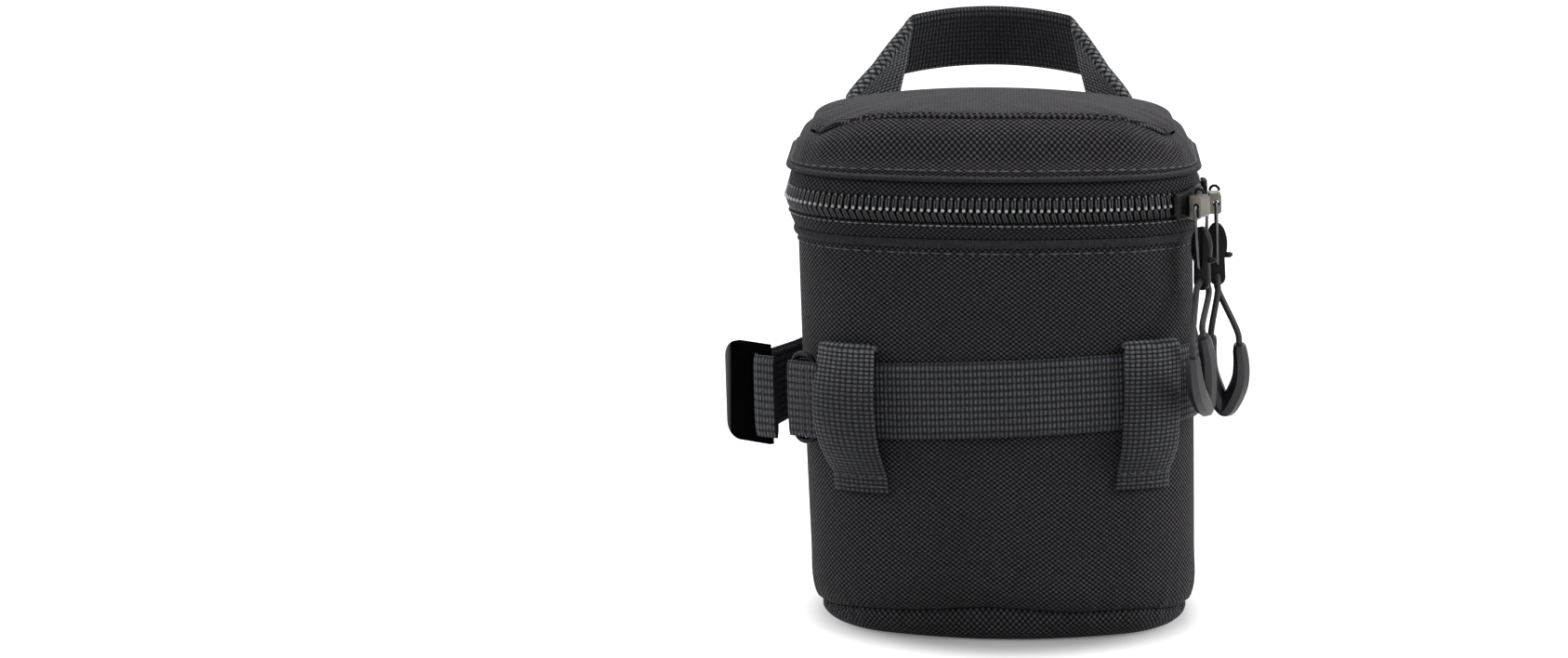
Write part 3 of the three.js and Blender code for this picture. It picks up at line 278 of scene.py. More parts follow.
# Small stitches: each is a short bowed grain of thread that dips in at both ends
def stitchRun(name, centres, along, outward, length, thread):
    t = np.linspace(-1, 1, 5)[:, None]
    size = thread / 2 * np.sqrt(np.clip(1 - 0.75 * t ** 4, 0, 1))
    bow = thread * (0.25 - 0.5 * t ** 2)
    axis = centres[:, None] + along[:, None] * (t * length / 2) + outward[:, None] * bow
    ring = circles(6, unit(np.cross(along, outward))[:, None], outward[:, None])
    return manyGrids(name, axis[:, :, None] + size[:, None] * ring)


# Gives a piece its body and its finish; its slot is the CAD node that it stands for, hidden when it stands
def finishPiece(obj, body, finish, slot, stands=True):
    obj.data.materials.append(materials[finish])
    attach(obj, body)
    if stands:
        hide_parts(slot)


# Stitches at distances along the plan, which run with it or else the given way. size: length, thread
def stitchesAlong(name, body, slot, distance, spots, size, finish="sewingThread", way=None):
    _, _, nx, ny = planAt(distance)
    along, outward = np.stack([-ny, nx, 0 * nx], -1), np.stack([nx, ny, 0 * nx], -1)
    along = along if way is None else np.broadcast_to(np.array(way, float), along.shape)
    stitches = stitchRun(name, spots, along, outward, size[0] * mm, size[1] * mm)
    finishPiece(stitches, body, finish, slot, stands=False)


# sRGB hex to linear: low values are divided by 12.92, the rest go by ((c + 0.055) / 1.055)^2.4
def linear(colour):
    value = np.array([int(colour[k:k + 2], 16) for k in (1, 3, 5)]) / 255
    value = np.where(value <= 0.04045, value / 12.92, ((value + 0.055) / 1.055) ** 2.4)
    return (*value.tolist(), 1.0)


# Empties a tree and gives back the function that adds one node to it. Inputs are values or the
# sockets that feed them, by place or by name, settings go on the node, one output comes back.
def nodeAdder(tree):
    def add(kind, inputs=(), output=0, **settings):
        node = tree.nodes.new("ShaderNode" + kind)
        for key, value in settings.items():
            setattr(node, key, value)
        for key, value in (inputs if isinstance(inputs, dict) else dict(enumerate(inputs))).items():
            if isinstance(value, bpy.types.NodeSocket):
                tree.links.new(value, node.inputs[key])
            else:
                node.inputs[key].default_value = value
        return node.outputs[output] if node.outputs else None
    tree.nodes.clear()
    return add


materials = {}


# An empty material of that name, given back as the function that adds its nodes
def newMaterial(name):
    materials[name] = bpy.data.materials.new(name)
    materials[name].use_nodes = True
    return nodeAdder(materials[name].node_tree)


# Ends a material: the height drives the bump, and colour, roughness and the rest feed the shader
def closeMaterial(add, colour, rough, height, strength, distance, rest):
    bump = add("Bump", {"Height": height, "Strength": strength, "Distance": distance * mm})
    surface = {"Base Color": colour, "Roughness": rough, "Normal": bump, **rest}
    add("OutputMaterial", [add("BsdfPrincipled", surface)])


# The piece's cloth map, swayed by noise and counted in turns of the weave: (uv + noise * sway) * turns
def clothTurns(add, place, scale, sway, turns):
    noise = add("TexNoise", {"Vector": place, "Scale": scale, "Detail": 1.0}, 1)
    cloth = add("UVMap", uv_map="cloth")
    swayed = add("VectorMath", [noise, (sway, sway, 0), cloth], operation="MULTIPLY_ADD")
    turned = add("VectorMath", [swayed, (*turns, 0)], operation="MULTIPLY")
    return add("SeparateXYZ", [turned]).node.outputs[:2]


# Makes a value patchy: value * (noise * gain + base)
def patched(add, value, noise, gain, base):
    share = add("Math", [noise, gain, base], operation="MULTIPLY_ADD")
    return add("Math", [value, share], operation="MULTIPLY")


# Woven cloth: sin(pi u / warp) * sin(pi v / weft) is a chequer of rounded knots, one thread wide,
# each catching a little light between dark holes. Noise sways the threads and patches the light.
def wovenCloth(name, dark, light, warp, weft, depth, sheen):
    add = newMaterial(name)
    place = add("TexCoord", output="Object")
    turns = clothTurns(add, place, 260.0, 0.00022, (pi / (warp * mm), pi / (weft * mm)))
    waves = [add("Math", [part], operation="SINE") for part in turns]
    knots = add("Math", waves, operation="MULTIPLY")
    patch = add("TexNoise", {"Vector": place, "Scale": 45.0, "Detail": 4.0})
    fleck = add("TexNoise", {"Vector": place, "Scale": 1100.0, "Detail": 1.0})
    height = add("MapRange", {"Value": knots, "From Min": -0.3, "From Max": 0.95})
    lit = patched(add, patched(add, height, fleck, 1.6, 0.2), patch, 0.8, 0.6)
    colour = add("Mix", {0: lit, 6: linear(dark), 7: linear(light)}, 2, data_type="RGBA")
    rough = add("MapRange", {"Value": height, "To Min": 0.95, "To Max": 0.6})
    bumped = add("Math", [fleck, 0.3, height], operation="MULTIPLY_ADD")
    closeMaterial(add, colour, rough, bumped, 0.8, depth,
                  {"Specular IOR Level": 0.16, "Sheen Weight": sheen, "Sheen Roughness": 0.4})


# Nylon webbing: |sin| ribs 1.07 mm apart along the strap times |sin| cords across it, with dark gaps
# at their crossings and a faint shift from rib to rib. A painted highlight colour, mixed in by a share at
# each point, makes lit parts paler.
def webbing(name, dark, light, across, pale):
    add = newMaterial(name)
    place = add("TexCoord", output="Object")
    along, plain = clothTurns(add, place, 420.0, 0.0003, (1 / (1.07 * mm), 1 / (across * mm)))
    odd = add("Math", [add("Math", [along], operation="FLOOR"), 2.0], operation="MODULO")
    brick = add("Math", [odd, 0.5, plain], operation="MULTIPLY_ADD")
    waves = []
    for share in (along, brick, plain):
        wave = add("Math", [add("Math", [share, pi], operation="MULTIPLY")], operation="SINE")
        waves.append(add("Math", [wave], operation="ABSOLUTE"))
    straight = add("Math", [waves[2], 0.84], operation="MULTIPLY")
    rows = add("Math", [waves[1], 0.16, straight], operation="MULTIPLY_ADD")
    powers = [add("Math", pair, operation="POWER") for pair in ([waves[0], 0.75], [rows, 0.6])]
    knots = add("Math", powers, operation="MULTIPLY")
    fibre = add("TexNoise", {"Vector": place, "Scale": 1300.0, "Detail": 2.0})
    patch = add("TexNoise", {"Vector": place, "Scale": 80.0, "Detail": 3.0})
    lit = add("Math", [knots, 1.9], operation="POWER")
    lit = patched(add, patched(add, lit, fibre, 1.6, 0.2), patch, 0.7, 0.65)
    upper = linear(light)
    # Painted highlight: by the share, the upper colour turns paler and the knots brighter
    if pale:
        share = add("Attribute", output="Fac", attribute_name="paintedHighlightShare")
        upper = add("Mix", {0: share, 6: upper, 7: linear(pale)}, 2, data_type="RGBA")
        lit = patched(add, lit, share, 0.8, 0.7)
    colour = add("Mix", {0: lit, 6: linear(dark), 7: upper}, 2, data_type="RGBA")
    rough = add("MapRange", {"Value": knots, "To Min": 0.9, "To Max": 0.5})
    bumped = add("Math", [fibre, 0.2, knots], operation="MULTIPLY_ADD")
    closeMaterial(add, colour, rough, bumped, 0.9, 0.4,
                  {"Specular IOR Level": 0.2, "Sheen Weight": 0.06, "Sheen Roughness": 0.4})


# Moulded or drawn stuff: fine grain in the bump, and patches where handling has changed the gloss
def moulded(name, base, worn, roughness, grain, metallic=0.0, grainScale=900.0, gloss=0.5, wornEdge=""):
    add = newMaterial(name)
    place = add("TexCoord", output="Object")
    patch = add("TexNoise", {"Vector": place, "Scale": 160.0, "Detail": 4.0})
    speck = add("TexNoise", {"Vector": place, "Scale": grainScale, "Detail": 2.0})
    share = add("MapRange", {"Value": patch, "From Min": 0.4, "From Max": 0.75})
    colour = add("Mix", {0: share, 6: linear(base), 7: linear(worn)}, 2, data_type="RGBA")
    if wornEdge:  # painted highlight: a pale band along the plate's free left edge, in place of the light its bevel catches
        rim = {"From Min": -0.0712, "From Max": -0.07, "To Min": 1.0, "To Max": 0.0}
        edge = add("MapRange", {"Value": add("SeparateXYZ", [place]), **rim})
        colour = add("Mix", {0: edge, 6: colour, 7: linear(wornEdge)}, 2, data_type="RGBA")
    rough = add("MapRange", {"Value": patch, "From Min": 0.3, "From Max": 0.7,
                             "To Min": roughness * 0.8, "To Max": min(1.0, roughness * 1.3)})
    rest = {"Metallic": metallic} if metallic else {"Specular IOR Level": gloss}
    closeMaterial(add, colour, rough, speck, 0.3 * grain, 0.03, rest)


# Braided cord: sin(u + v) * sin(u - v) gives two sets of strands that cross on the slant
def braid(name, dark, light, strand):
    add = newMaterial(name)
    parts = list(add("SeparateXYZ", [add("UVMap", uv_map="cloth")]).node.outputs[:2])
    waves = []
    for slant in ("ADD", "SUBTRACT"):
        turns = add("Math", [add("Math", parts, operation=slant), pi / (strand * mm)], operation="MULTIPLY")
        waves.append(add("Math", [turns], operation="SINE"))
    crossed = add("Math", waves, operation="MULTIPLY")
    height = add("MapRange", {"Value": crossed, "From Min": -1.0, "From Max": 1.0})
    colour = add("Mix", {0: height, 6: linear(dark), 7: linear(light)}, 2, data_type="RGBA")
    closeMaterial(add, colour, 0.7, height, 0.6, 0.1, {"Sheen Weight": 0.2, "Sheen Roughness": 0.4})


# Woven cloths: dark and light yarn, width of warp and weft yarn, depth of the weave, sheen
cloths = {
    "wovenPolyester": ("#08080a", "#585559", 0.78, 0.61, 0.26, 0.05),  # matt black, grey glint on each knot
    "zipTape": ("#070709", "#48474b", 0.72, 0.6, 0.2, 0.05),  # the same black, a little smoother
    "bindingTape": ("#0b0b0d", "#5c5a5f", 0.72, 0.6, 0.2, 0.05),  # worn greyer along the lips
    "brushedLining": ("#2b2c30", "#4a4b50", 0.4, 0.4, 0.06, 0.35),  # napped, so soft light and no weave
}
# Webbing: dark and light yarn, distance of the cords across, and the paler colour of a painted highlight
webs = {
    "nylonWebbing": ("#050507", "#64656c", 1.71, ""),  # coarse grid of blue-grey knots
    "foldedNylonWebbing": ("#050507", "#64656c", 1.25, "#8b8c93"),  # finer, with a painted highlight towards the fold
    "handleWebbing": ("#050507", "#64656c", 1.46, "#8b8c93"),  # dark band, legs drawn paler as a painted highlight
}
# Moulded and drawn pieces: base and worn colour, roughness, grain, then what else differs
mouldings = {
    "coilNylon": ("#18191b", "#292a2d", 0.3, 0.5, {"gloss": 0.35}),  # drawn nylon, narrow soft glints
    "paintedHighlightNylon": ("#b4b4b8", "#d2d2d6", 0.25, 0.4, {}),  # painted highlight: bright dots on the coil's heads
    "coilThreadAndHighlight": ("#6c6c71", "#9d9da2", 0.4, 0.6, {}),  # sewn thread, pale and silky; on the upper row the same grains are painted highlights
    "glossAcetal": ("#060607", "#0b0b0c", 0.3, 0.3, {"gloss": 0.0, "wornEdge": "#6e6e72"}),  # black, with a painted highlight along its left rim
    "blackLacquer": ("#09090b", "#161618", 0.22, 0.3, {"gloss": 0.12}),  # black metal, faint highlights
    "mouldedNylon": ("#0d0d0f", "#1c1c1f", 0.35, 1.0, {"gloss": 0.12}),  # satin black tag
    "drawnSteelWire": ("#4c4d50", "#6c6d70", 0.28, 0.6, {"metallic": 1.0}),  # thin bright line
    "castZinc": ("#67645e", "#7d7972", 0.34, 1.2, {"metallic": 1.0}),  # warm grey metal, blurred shine
    "mouldedRubber": ("#1c1c1f", "#2c2c30", 0.42, 1.2, {}),  # dull dark grey with soft facets
    "sewingThread": ("#333338", "#5e5e65", 0.6, 1.0, {"grainScale": 4000.0}),  # dashes greyer than the cloth
    "closedCellFoam": ("#2e2e30", "#3a3a3d", 0.9, 2.0, {"grainScale": 1500.0}),  # flat grey, hardly any shine
}
for finishName, look in cloths.items():
    wovenCloth(finishName, *look)
for finishName, look in webs.items():
    webbing(finishName, *look)
for finishName, look in mouldings.items():
    moulded(finishName, *look[:4], **look[4])
braid("braidedCord", "#060607", "#27272a", 0.55)  # slanting black strands with thin dark gaps
print("materials made")


cameraSet = {"place": (0.0, -1361.0, 292.0), "down": 9.17, "left": 2.393, "lens": 123.77, "sensor": 36.0}


# Camera at its place in millimetres, turned down from level and to the left by degrees
def makeCamera(v):
    data = bpy.data.cameras.new("camera")
    data.lens, data.sensor_width, data.clip_start = v["lens"], v["sensor"], 0.05
    camera = addObject("camera", data)
    camera.location = tuple(p * mm for p in v["place"])
    camera.rotation_euler = (math.radians(90 - v["down"]), 0, math.radians(v["left"]))
    bpy.context.scene.camera = camera


makeCamera(cameraSet)


zipSizes = {
    "mesh": 109.3, "end": 28.0, "pitch": 1.7, "sliderLength": 12.5, "noseGap": 7.0, "setback": 0.3,
    "travel": 16.0, "meshReach": 3.1, "legHalf": 0.34, "leg": 0.28, "head": 0.46, "stand": 0.5,
    # Head place and size give the painted highlight dots on the coil's heads; of the two grain rows after
    # them, the upper is painted highlight on the coil's outer turns and the lower is sewing thread
    "reach": 3.1, "drop": {"front": 0.0, "rear": 2.1}, "headPlace": (2.22, 0.1), "headSize": (0.95, 0.9),
    "upperHighlightDot": (1.45, 2.95, (0.8, 0.62), (0, 0, 1)), "lowerStitch": (1.62, -3.75, (1.15, 0.4), None),
}
pullSizes = {
    "out": 6.28, "rodDrop": 0.2, "bailLength": 15.8, "bailBottom": 1.8, "bailCorner": 1.0, "wire": 0.42,
    "block": 4.6, "linkLength": 21.2, "linkTop": 5.2, "linkCord": 18.8, "cord": 1.6, "turn": 3.2,
    "seat": 3.0, "gripHalf": 4.0, "gripHeight": 20.0, "gripRadius": 2.2,
}
# Grip's arms as shares of its half width and height, with the share of its radius there
gripShares = np.array([
    (-1, 1, 0.82), (-1.14, 0.74, 1.0), (-1.08, 0.48, 1.1), (-0.68, 0.23, 1.16), (-0.16, 0.02, 1.12),
    (0.16, 0.02, 1.12), (0.68, 0.23, 1.16), (1.08, 0.48, 1.1), (1.14, 0.74, 1.0), (1, 1, 0.82),
])
sliderMiddles = {
    "front": planStarts[6] - zipSizes["noseGap"] - zipSizes["sliderLength"] / 2,
    "rear": planStarts[6] + zipSizes["setback"] + zipSizes["sliderLength"] / 2,
}
gripPlaces = {
    "front": {"right": 0.34, "back": 0.88, "down": 50.91, "heading": 68.9, "tilt": -31.7, "lean": 6.8},
    "rear": {"right": 1.53, "back": 2.95, "down": 53.27, "heading": -30.5, "tilt": 11, "lean": 19.4},
}


# Frame at a slider: origin near the mesh line, then forward along the zip, outwards and up, in mm
def zipFrame(name):
    x, y, nx, ny = (float(q) for q in planAt(sliderMiddles[name]))
    origin = np.array([x, y, zipSizes["mesh"] - zipSizes["drop"][name]])
    return origin, np.array([[ny, -nx, 0], [nx, ny, 0], [0, 0, 1]])


# Rotation about the axis 0, 1 or 2 by an angle in degrees
def turnAbout(axis, degrees):
    a, b, angle = (axis + 1) % 3, (axis + 2) % 3, math.radians(degrees)
    matrix = np.eye(3)
    matrix[a, a] = matrix[b, b] = math.cos(angle)
    matrix[b, a], matrix[a, b] = math.sin(angle), -math.sin(angle)
    return matrix


# The grip's own frame: lean about its x, tilt about its y, then heading about z
def gripPath(name):
    p, g = pullSizes, gripPlaces[name]
    origin, axes = zipFrame(name)
    tip = origin + np.array([0, p["out"], -g["down"]]) @ axes + np.array([g["right"], g["back"], 0])
    across, up = gripShares[:, 0] * p["gripHalf"], gripShares[:, 1] * p["gripHeight"]
    flat = np.stack([across, 0 * across, up], -1)
    basis = turnAbout(2, g["heading"]) @ turnAbout(0, g["lean"]) @ turnAbout(1, g["tilt"])
    return tip + flat @ basis.T, basis[:, 1]


# The cord's route: up from one mouth of the grip, in a half turn through the link, and down again
def cordRoute(name):
    p = pullSizes
    origin, axes = zipFrame(name)
    path, _ = gripPath(name)
    mouths = [(path[0], unit(path[1] - path[0])), (path[-1], unit(path[-2] - path[-1]))]
    top = -p["rodDrop"] - p["linkCord"] - p["turn"]
    at = lambda a, z: origin + np.array([a, p["out"], z]) @ axes
    near, far = (np.linalg.norm(at(side * p["turn"], top) - path[0]) for side in (1, -1))
    first, second = mouths if near < far else mouths[::-1]
    arc = [at(p["turn"] * math.cos(pi * k / 6), top + p["turn"] * math.sin(pi * k / 6)) for k in range(7)]
    ends = lambda m: [m[0] + m[1] * p["seat"], m[0], m[0] - m[1] * p["seat"]]
    return np.array(ends(first) + arc + ends(second)[::-1])


# Centripetal spline through points, evenly sampled: knots are spaced by the root of the distance,
# and each stretch blends its four points over the knot spans in three rounds
def centripetal(points, count):
    p = np.concatenate([[2 * points[0] - points[1]], points, [2 * points[-1] - points[-2]]])
    t = np.concatenate([[0], np.cumsum(np.sqrt(np.linalg.norm(np.diff(p, axis=0), axis=1)))])
    pieces = []
    for k in range(len(p) - 3):
        s = np.linspace(t[k + 1], t[k + 2], 24, endpoint=False)[:, None]
        level = p[k:k + 4]
        for spans in (((0, 1), (1, 2), (2, 3)), ((0, 2), (1, 3)), ((1, 2),)):
            level = [((t[k + b] - s) * level[m] + (s - t[k + a]) * level[m + 1]) / (t[k + b] - t[k + a])
                     for m, (a, b) in enumerate(spans)]
        pieces.append(level[0])
    dense = np.concatenate(pieces + [p[-2:-1]])
    run = runAlong(dense)
    where = np.linspace(0, run[-1], count)
    return np.stack([np.interp(where, run, dense[:, k]) for k in range(3)], -1)


def makeCords():
    for name in ("front", "rear"):
        route = centripetal(cordRoute(name), 72) * mm
        _, axes = zipFrame(name)
        cord = tube(name + "Cord", route, pullSizes["cord"] / 2 * mm, 14, axes[1] + np.array([0, 0, 0.05]))
        route = leaned(route)
        finishPiece(cord, name + "_pull", "braidedCord", name + "_pull_cord")
        length = float(runAlong(route)[-1])
        tuple(route[len(route) // 2])
        print("cord", name, round(length * 1000, 1), "mm")


# Outline of four round corners about the given centres, anticlockwise from the upper right
def roundedOutline(centres, radius, count):
    arcs = []
    for q, (x, z) in enumerate(centres):
        turn = q * pi / 2 + np.linspace(0, pi / 2, count)
        arcs.append(np.stack([x + radius * np.cos(turn), z + radius * np.sin(turn)], -1))
    return np.concatenate(arcs)


linkSizes = {
    "halfLong": 5.3, "halfWide": 2.7, "neck": 2.1, "beadOut": 2.35, "beadUp": 4.95, "bead": (0.6, 0.5),
    "nubUp": 7.8, "nubOut": 0.6, "nub": (2.6, 1.5),
}


# Link: an oval tag with a neck, flat faces with rounded edges, beads round its rim and one short nub
def makeLink(name, p, v):
    origin, axes = zipFrame(name)
    place = lambda grid: (origin + grid @ axes) * mm
    body, slot = name + "_pull", name + "_pull_link"
    bottom, neck = -p["rodDrop"] - p["linkLength"], v["neck"]
    middle = -p["rodDrop"] - p["linkTop"] - v["halfLong"]
    turn = np.linspace(-0.24 * pi, 1.24 * pi, 30)
    oval = np.stack([v["halfWide"] * np.cos(turn), middle + v["halfLong"] * np.sin(turn)], -1)
    foot = np.linspace(pi, 2 * pi, 12)
    outline = np.concatenate([oval, np.stack([neck * np.cos(foot), bottom + neck + neck * np.sin(foot)], -1)])
    along = unit(np.roll(outline, -1, 0) - np.roll(outline, 1, 0))
    normal = np.stack([along[:, 1], -along[:, 0]], -1)
    inset = np.array([0.4, 0.12, 0.0, 0.0, 0.12, 0.4])
    thick = np.array([-1.0, -0.9, -0.6, 0.6, 0.9, 1.0])
    flat = outline[:, None] - normal[:, None] * inset[None, :, None]
    grid = np.stack([np.broadcast_to(thick, flat.shape[:2]), p["out"] + flat[..., 0], flat[..., 1]], -1)
    around, across = np.linspace(0, 40, 43) * mm, np.linspace(0, 3, 6) * mm
    link = gridMesh(name + "Link", place(grid), True, False, around, across, sharp=40)
    finishPiece(link, body, "mouldedNylon", slot)
    turn = np.linspace(0.0, 1.15 * pi, 17)
    out, up = p["out"] + v["beadOut"] * np.cos(turn), middle + v["beadUp"] * np.sin(turn)
    spots = place(np.stack([0 * turn - 1, out, up], -1))
    ways = unit(np.gradient(spots, axis=0))
    outward = np.broadcast_to(-axes[0], ways.shape)
    beads = stitchRun(name + "LinkBeads", spots, ways, outward, v["bead"][0] * mm, v["bead"][1] * mm)
    finishPiece(beads, body, "blackLacquer", slot, stands=False)
    spot = place(np.array([[0, p["out"] + neck + v["nubOut"], bottom + v["nubUp"]]]))
    nub = stitchRun(name + "LinkNub", spot, axes[1][None], axes[0][None], v["nub"][0] * mm, v["nub"][1] * mm)
    finishPiece(nub, body, "mouldedNylon", slot, stands=False)


# Pulls: a wire bail round the block, the link, and a grip whose arms have eight flat sides and a
# rim that narrows at both mouths. Slider, block and crown are rounded copies of the CAD pieces.
def makePulls(p):
    for name in ("front", "rear"):
        origin, axes = zipFrame(name)
        pull, slider, corner = name + "_pull", name + "_slider", p["bailCorner"]
        half = p["block"] / 2 + 0.38 + p["wire"]
        top, bottom = -p["rodDrop"] - corner, -p["rodDrop"] - p["bailLength"] + corner
        centres = [(half - corner, top), (corner - half, top), (corner - p["bailBottom"], bottom),
                   (p["bailBottom"] - corner, bottom)]
        loop = roundedOutline(centres, corner, 6)
        path = (origin + np.insert(loop, 1, p["out"], 1) @ axes) * mm
        bail = tube(name + "Bail", path, p["wire"] * mm, 12, axes[1], closed=True)
        finishPiece(bail, pull, "drawnSteelWire", pull + "_bail")
        makeLink(name, p, linkSizes)
        coarse, normal = gripPath(name)
        t = np.linspace(0, 1, 60)
        fine = smoothThrough(coarse, t) * mm
        rim = np.minimum(np.minimum(t, 1 - t) * 60, 2.0) / 2
        size = smoothThrough(gripShares[:, 2], t) * p["gripRadius"] * mm * (0.82 + 0.18 * np.sqrt(rim))
        section = tubePoints(fine, size, 8, normal, flat=0.95)
        around = np.linspace(0, 14 * mm, 9)
        grip = gridMesh(name + "Grip", section, False, True, runAlong(fine), around, sharp=30)
        finishPiece(grip, pull, "mouldedRubber", pull + "_grip")
        for part, node, finish, width in (("SliderBody", slider, "blackLacquer", 0.25),
                                          ("Block", slider + "_block", "castZinc", 0.2),
                                          ("Crown", slider + "_crown", "blackLacquer", 0.1)):
            finishPiece(roundedCopy(name + part, node, width), slider, finish, node)
    print("pulls made")


makeCords()
makePulls(pullSizes)


bodyValues = {
    "seam": 8.4, "seamSide": 2.2, "seamWave": 0.8, "top": 100.2, "cloth": 1.2, "pucker": 0.36, "tuck": 2.0,
    "baseInset": 6.5, "sideInset": 6.0, "ringPoints": 720, "stitchLine": 98.4, "stitchPitch": 2.9,
    "stitch": (2.2, 0.5), "wallFoot": 7.1, "wallInner": 6.4, "padEdge": 4.6, "padGap": 1.6, "padRise": 3.0,
    "liningOut": 7.05, "liningThick": 0.75, "tuckOver": 1.9, "puckerOver": 3.6, "crease": (0.7, 0.7),
    "swell": 0.22, "belly": (0.25, 6, 5),
    "lip": {"nose": (0.15, 100.95), "half": (1.05, 1.2), "band": (0.1, -7.4), "heights": (102.15, 100.6),
            "run": 19},
}


# Small uneven gathers of the cloth near a seam: a sum of sines along the plan, by fixed phases
def gathers(distance, waves, seed):
    rng = np.random.default_rng(seed)
    turns = np.round(planLength / np.array(waves))
    phase = rng.uniform(0, 2 * pi, len(turns))
    weight = rng.uniform(0.5, 1.0, len(turns))
    value = sum(w * np.sin(2 * pi * k * distance / planLength + f) for k, f, w in zip(turns, phase, weight))
    return value / weight.sum()


# How far towards the two sides a place on the plan lies, from 0 in the middle to 1
def sideShare(distance):
    share = np.clip((np.abs(planAt(distance)[0]) / planSizes["halfWidth"] - 0.12) / 0.8, 0, 1)
    return share ** 1.3


# The base seam sinks from its height at the front and back towards the two sides, in slack waves
def seamHeight(distance, v):
    waves = gathers(distance, (38.0, 57.0, 80.0), 14)
    return v["seam"] - v["seamSide"] * sideShare(distance) + v["seamWave"] * waves


# Rolled lip: half an oval nose about its centre, then a flat band that goes back in and returns
def makeLip(name, s, wrapped, body, slot, v):
    a = np.linspace(-0.5 * pi, 0.5 * pi, 11)
    band = np.linspace(*v["band"], 5)
    out = np.concatenate([v["nose"][0] + v["half"][0] * np.cos(a), band[1:], band[:0:-1]])
    z = v["nose"][1] + v["half"][1] * np.sin(a)
    z = np.concatenate([z, *(np.full(4, height) for height in v["heights"])])
    around = np.linspace(0, v["run"], len(out) + 1) * mm
    lip = gridMesh(name, onPlan(s, out[None], z[None]), True, True, wrapped, around)
    finishPiece(lip, body, "bindingTape", slot)


# Distances of stitches that share out the whole plan at about the given pitch
def stitchPlaces(pitch):
    return np.arange(0, planLength, planLength / round(planLength / pitch))


# Body: each surface is the plan, moved in or out by a profile over the height
def makeBody(v):
    s, wrapped = planRing(v["ringPoints"])
    seam = seamHeight(s, v)
    puckers = gathers(s, (3.6, 5.1, 7.3, 9.9), 3)
    soft = gathers(s, (31.0, 47.0, 68.0), 8)

    # Shell: bulges over the seam, where the cloth is drawn in and gathered
    t = np.linspace(0, 1, 56)[None] ** 1.5
    zOut = seam + (v["top"] - seam) * t
    above = zOut - seam
    crease, creaseOver = v["crease"]
    belly, bellyUp, bellyOver = v["belly"]
    drawnIn = -v["tuck"] * np.exp(-above / v["tuckOver"]) - crease * np.exp(-(above / creaseOver) ** 2)
    outer = bodyOffset(zOut) + drawnIn + v["pucker"] * np.exp(-above / v["puckerOver"]) * puckers \
        + v["swell"] * np.sin(pi * np.clip((zOut - 8) / 92, 0, 1)) * soft \
        + belly * np.exp(-((above - bellyUp) / bellyOver) ** 2)
    inner = np.minimum(bodyOffset(zOut) - v["cloth"], outer - 0.4)
    z = np.concatenate([zOut, zOut[:, ::-1]], 1)
    shell = gridMesh("shell", onPlan(s, np.concatenate([outer, inner[:, ::-1]], 1), z), True, True, wrapped,
                     np.append(z[0], z[0, 0]) * mm, sharp=70)
    finishPiece(shell, "body", "wovenPolyester", "outer_shell")

    # Base cloth: rolls in under the seam with the same gathers, down to a flat underside
    t = np.linspace(0, 1, 20)[None]
    top = seam - 0.1
    turnUp = top * (1 - np.cos(t * pi / 2))
    inset = v["baseInset"] + v["sideInset"] * sideShare(s)
    turnOut = -inset + (inset + bodyOffset(seam) - v["tuck"]) * np.sin(t * pi / 2) ** 0.9
    rollIn = -0.9 * np.exp(-((turnUp - top) / 0.8) ** 2)
    outerBase = turnOut + rollIn + v["pucker"] * 0.9 * puckers * (turnUp / top) ** 1.5
    innerUp = np.minimum(np.maximum(turnUp, v["cloth"]), top)[:, ::-1]
    profile = np.concatenate([outerBase, (turnOut - v["cloth"])[:, ::-1]], 1)
    across = np.tile(0.45 * np.arange(1, 21), 2) * mm
    points = onPlan(s, profile, np.concatenate([turnUp, innerUp], 1))
    base = gridMesh("baseCloth", points, True, False, wrapped, across)
    finishPiece(base, "body", "wovenPolyester", "base_panel")

    # Rim binding, with the stitch line of its seam below on the shell
    makeLip("rimBinding", s, wrapped, "body", "rim_binding", v["lip"])
    places = stitchPlaces(v["stitchPitch"])
    spots = onPlan(places, bodyOffset(v["stitchLine"]) + 0.05, v["stitchLine"])
    stitchesAlong("rimStitches", "body", "rim_binding", places, spots, v["stitch"])

    # Foam: the wall's lower edge and the base pad's rim follow the drawn-in cloth, so they are remade
    ring, run = planRing(240)
    zWall = np.concatenate([v["wallFoot"] + 12 * np.linspace(0, 1, 10) ** 1.5, [40.0, 70.0, 99.9]])
    wallOut = bodyOffset(zWall) - 1.9 - 3.2 * np.exp(-(zWall - v["wallFoot"]) / 2.4)
    profile = np.concatenate([wallOut, (bodyOffset(zWall) - v["wallInner"])[::-1]])
    points = onPlan(ring, profile[None], np.concatenate([zWall, zWall[::-1]])[None])
    wall = gridMesh("foamWall", points, True, True, run, np.linspace(0, 190, 2 * len(zWall) + 1) * mm)
    finishPiece(wall, "body", "closedCellFoam", "foam_wall")
    rise = np.linspace(0, 1, 6)[None]
    inset = v["baseInset"] + v["sideInset"] * sideShare(ring) + v["padGap"]
    padOut = -inset + (inset - v["padEdge"]) * np.sin(rise * pi / 2) ** 0.9
    points = onPlan(ring, padOut, v["padGap"] + v["padRise"] * rise + 0 * ring)
    pad = gridMesh("basePad", points, True, False, run, np.linspace(0, 8, 6) * mm)
    finishPiece(pad, "body", "closedCellFoam", "base_pad")

    # Lining: smooth cloth inside, from the floor up to the rim
    zIn = np.linspace(7.2, v["top"], 14)
    out = bodyOffset(zIn) - v["liningOut"]
    profile = np.concatenate([out, out[::-1] - v["liningThick"]])
    z = np.concatenate([zIn - 0.3, np.maximum(zIn[::-1], 7.7)])
    ring, run = planRing(160)
    lining = gridMesh("lining", onPlan(ring, profile[None], z[None]), True, False, run, z * mm)
    finishPiece(lining, "body", "brushedLining", "inner_lining")
    print("body made")


makeBody(bodyValues)


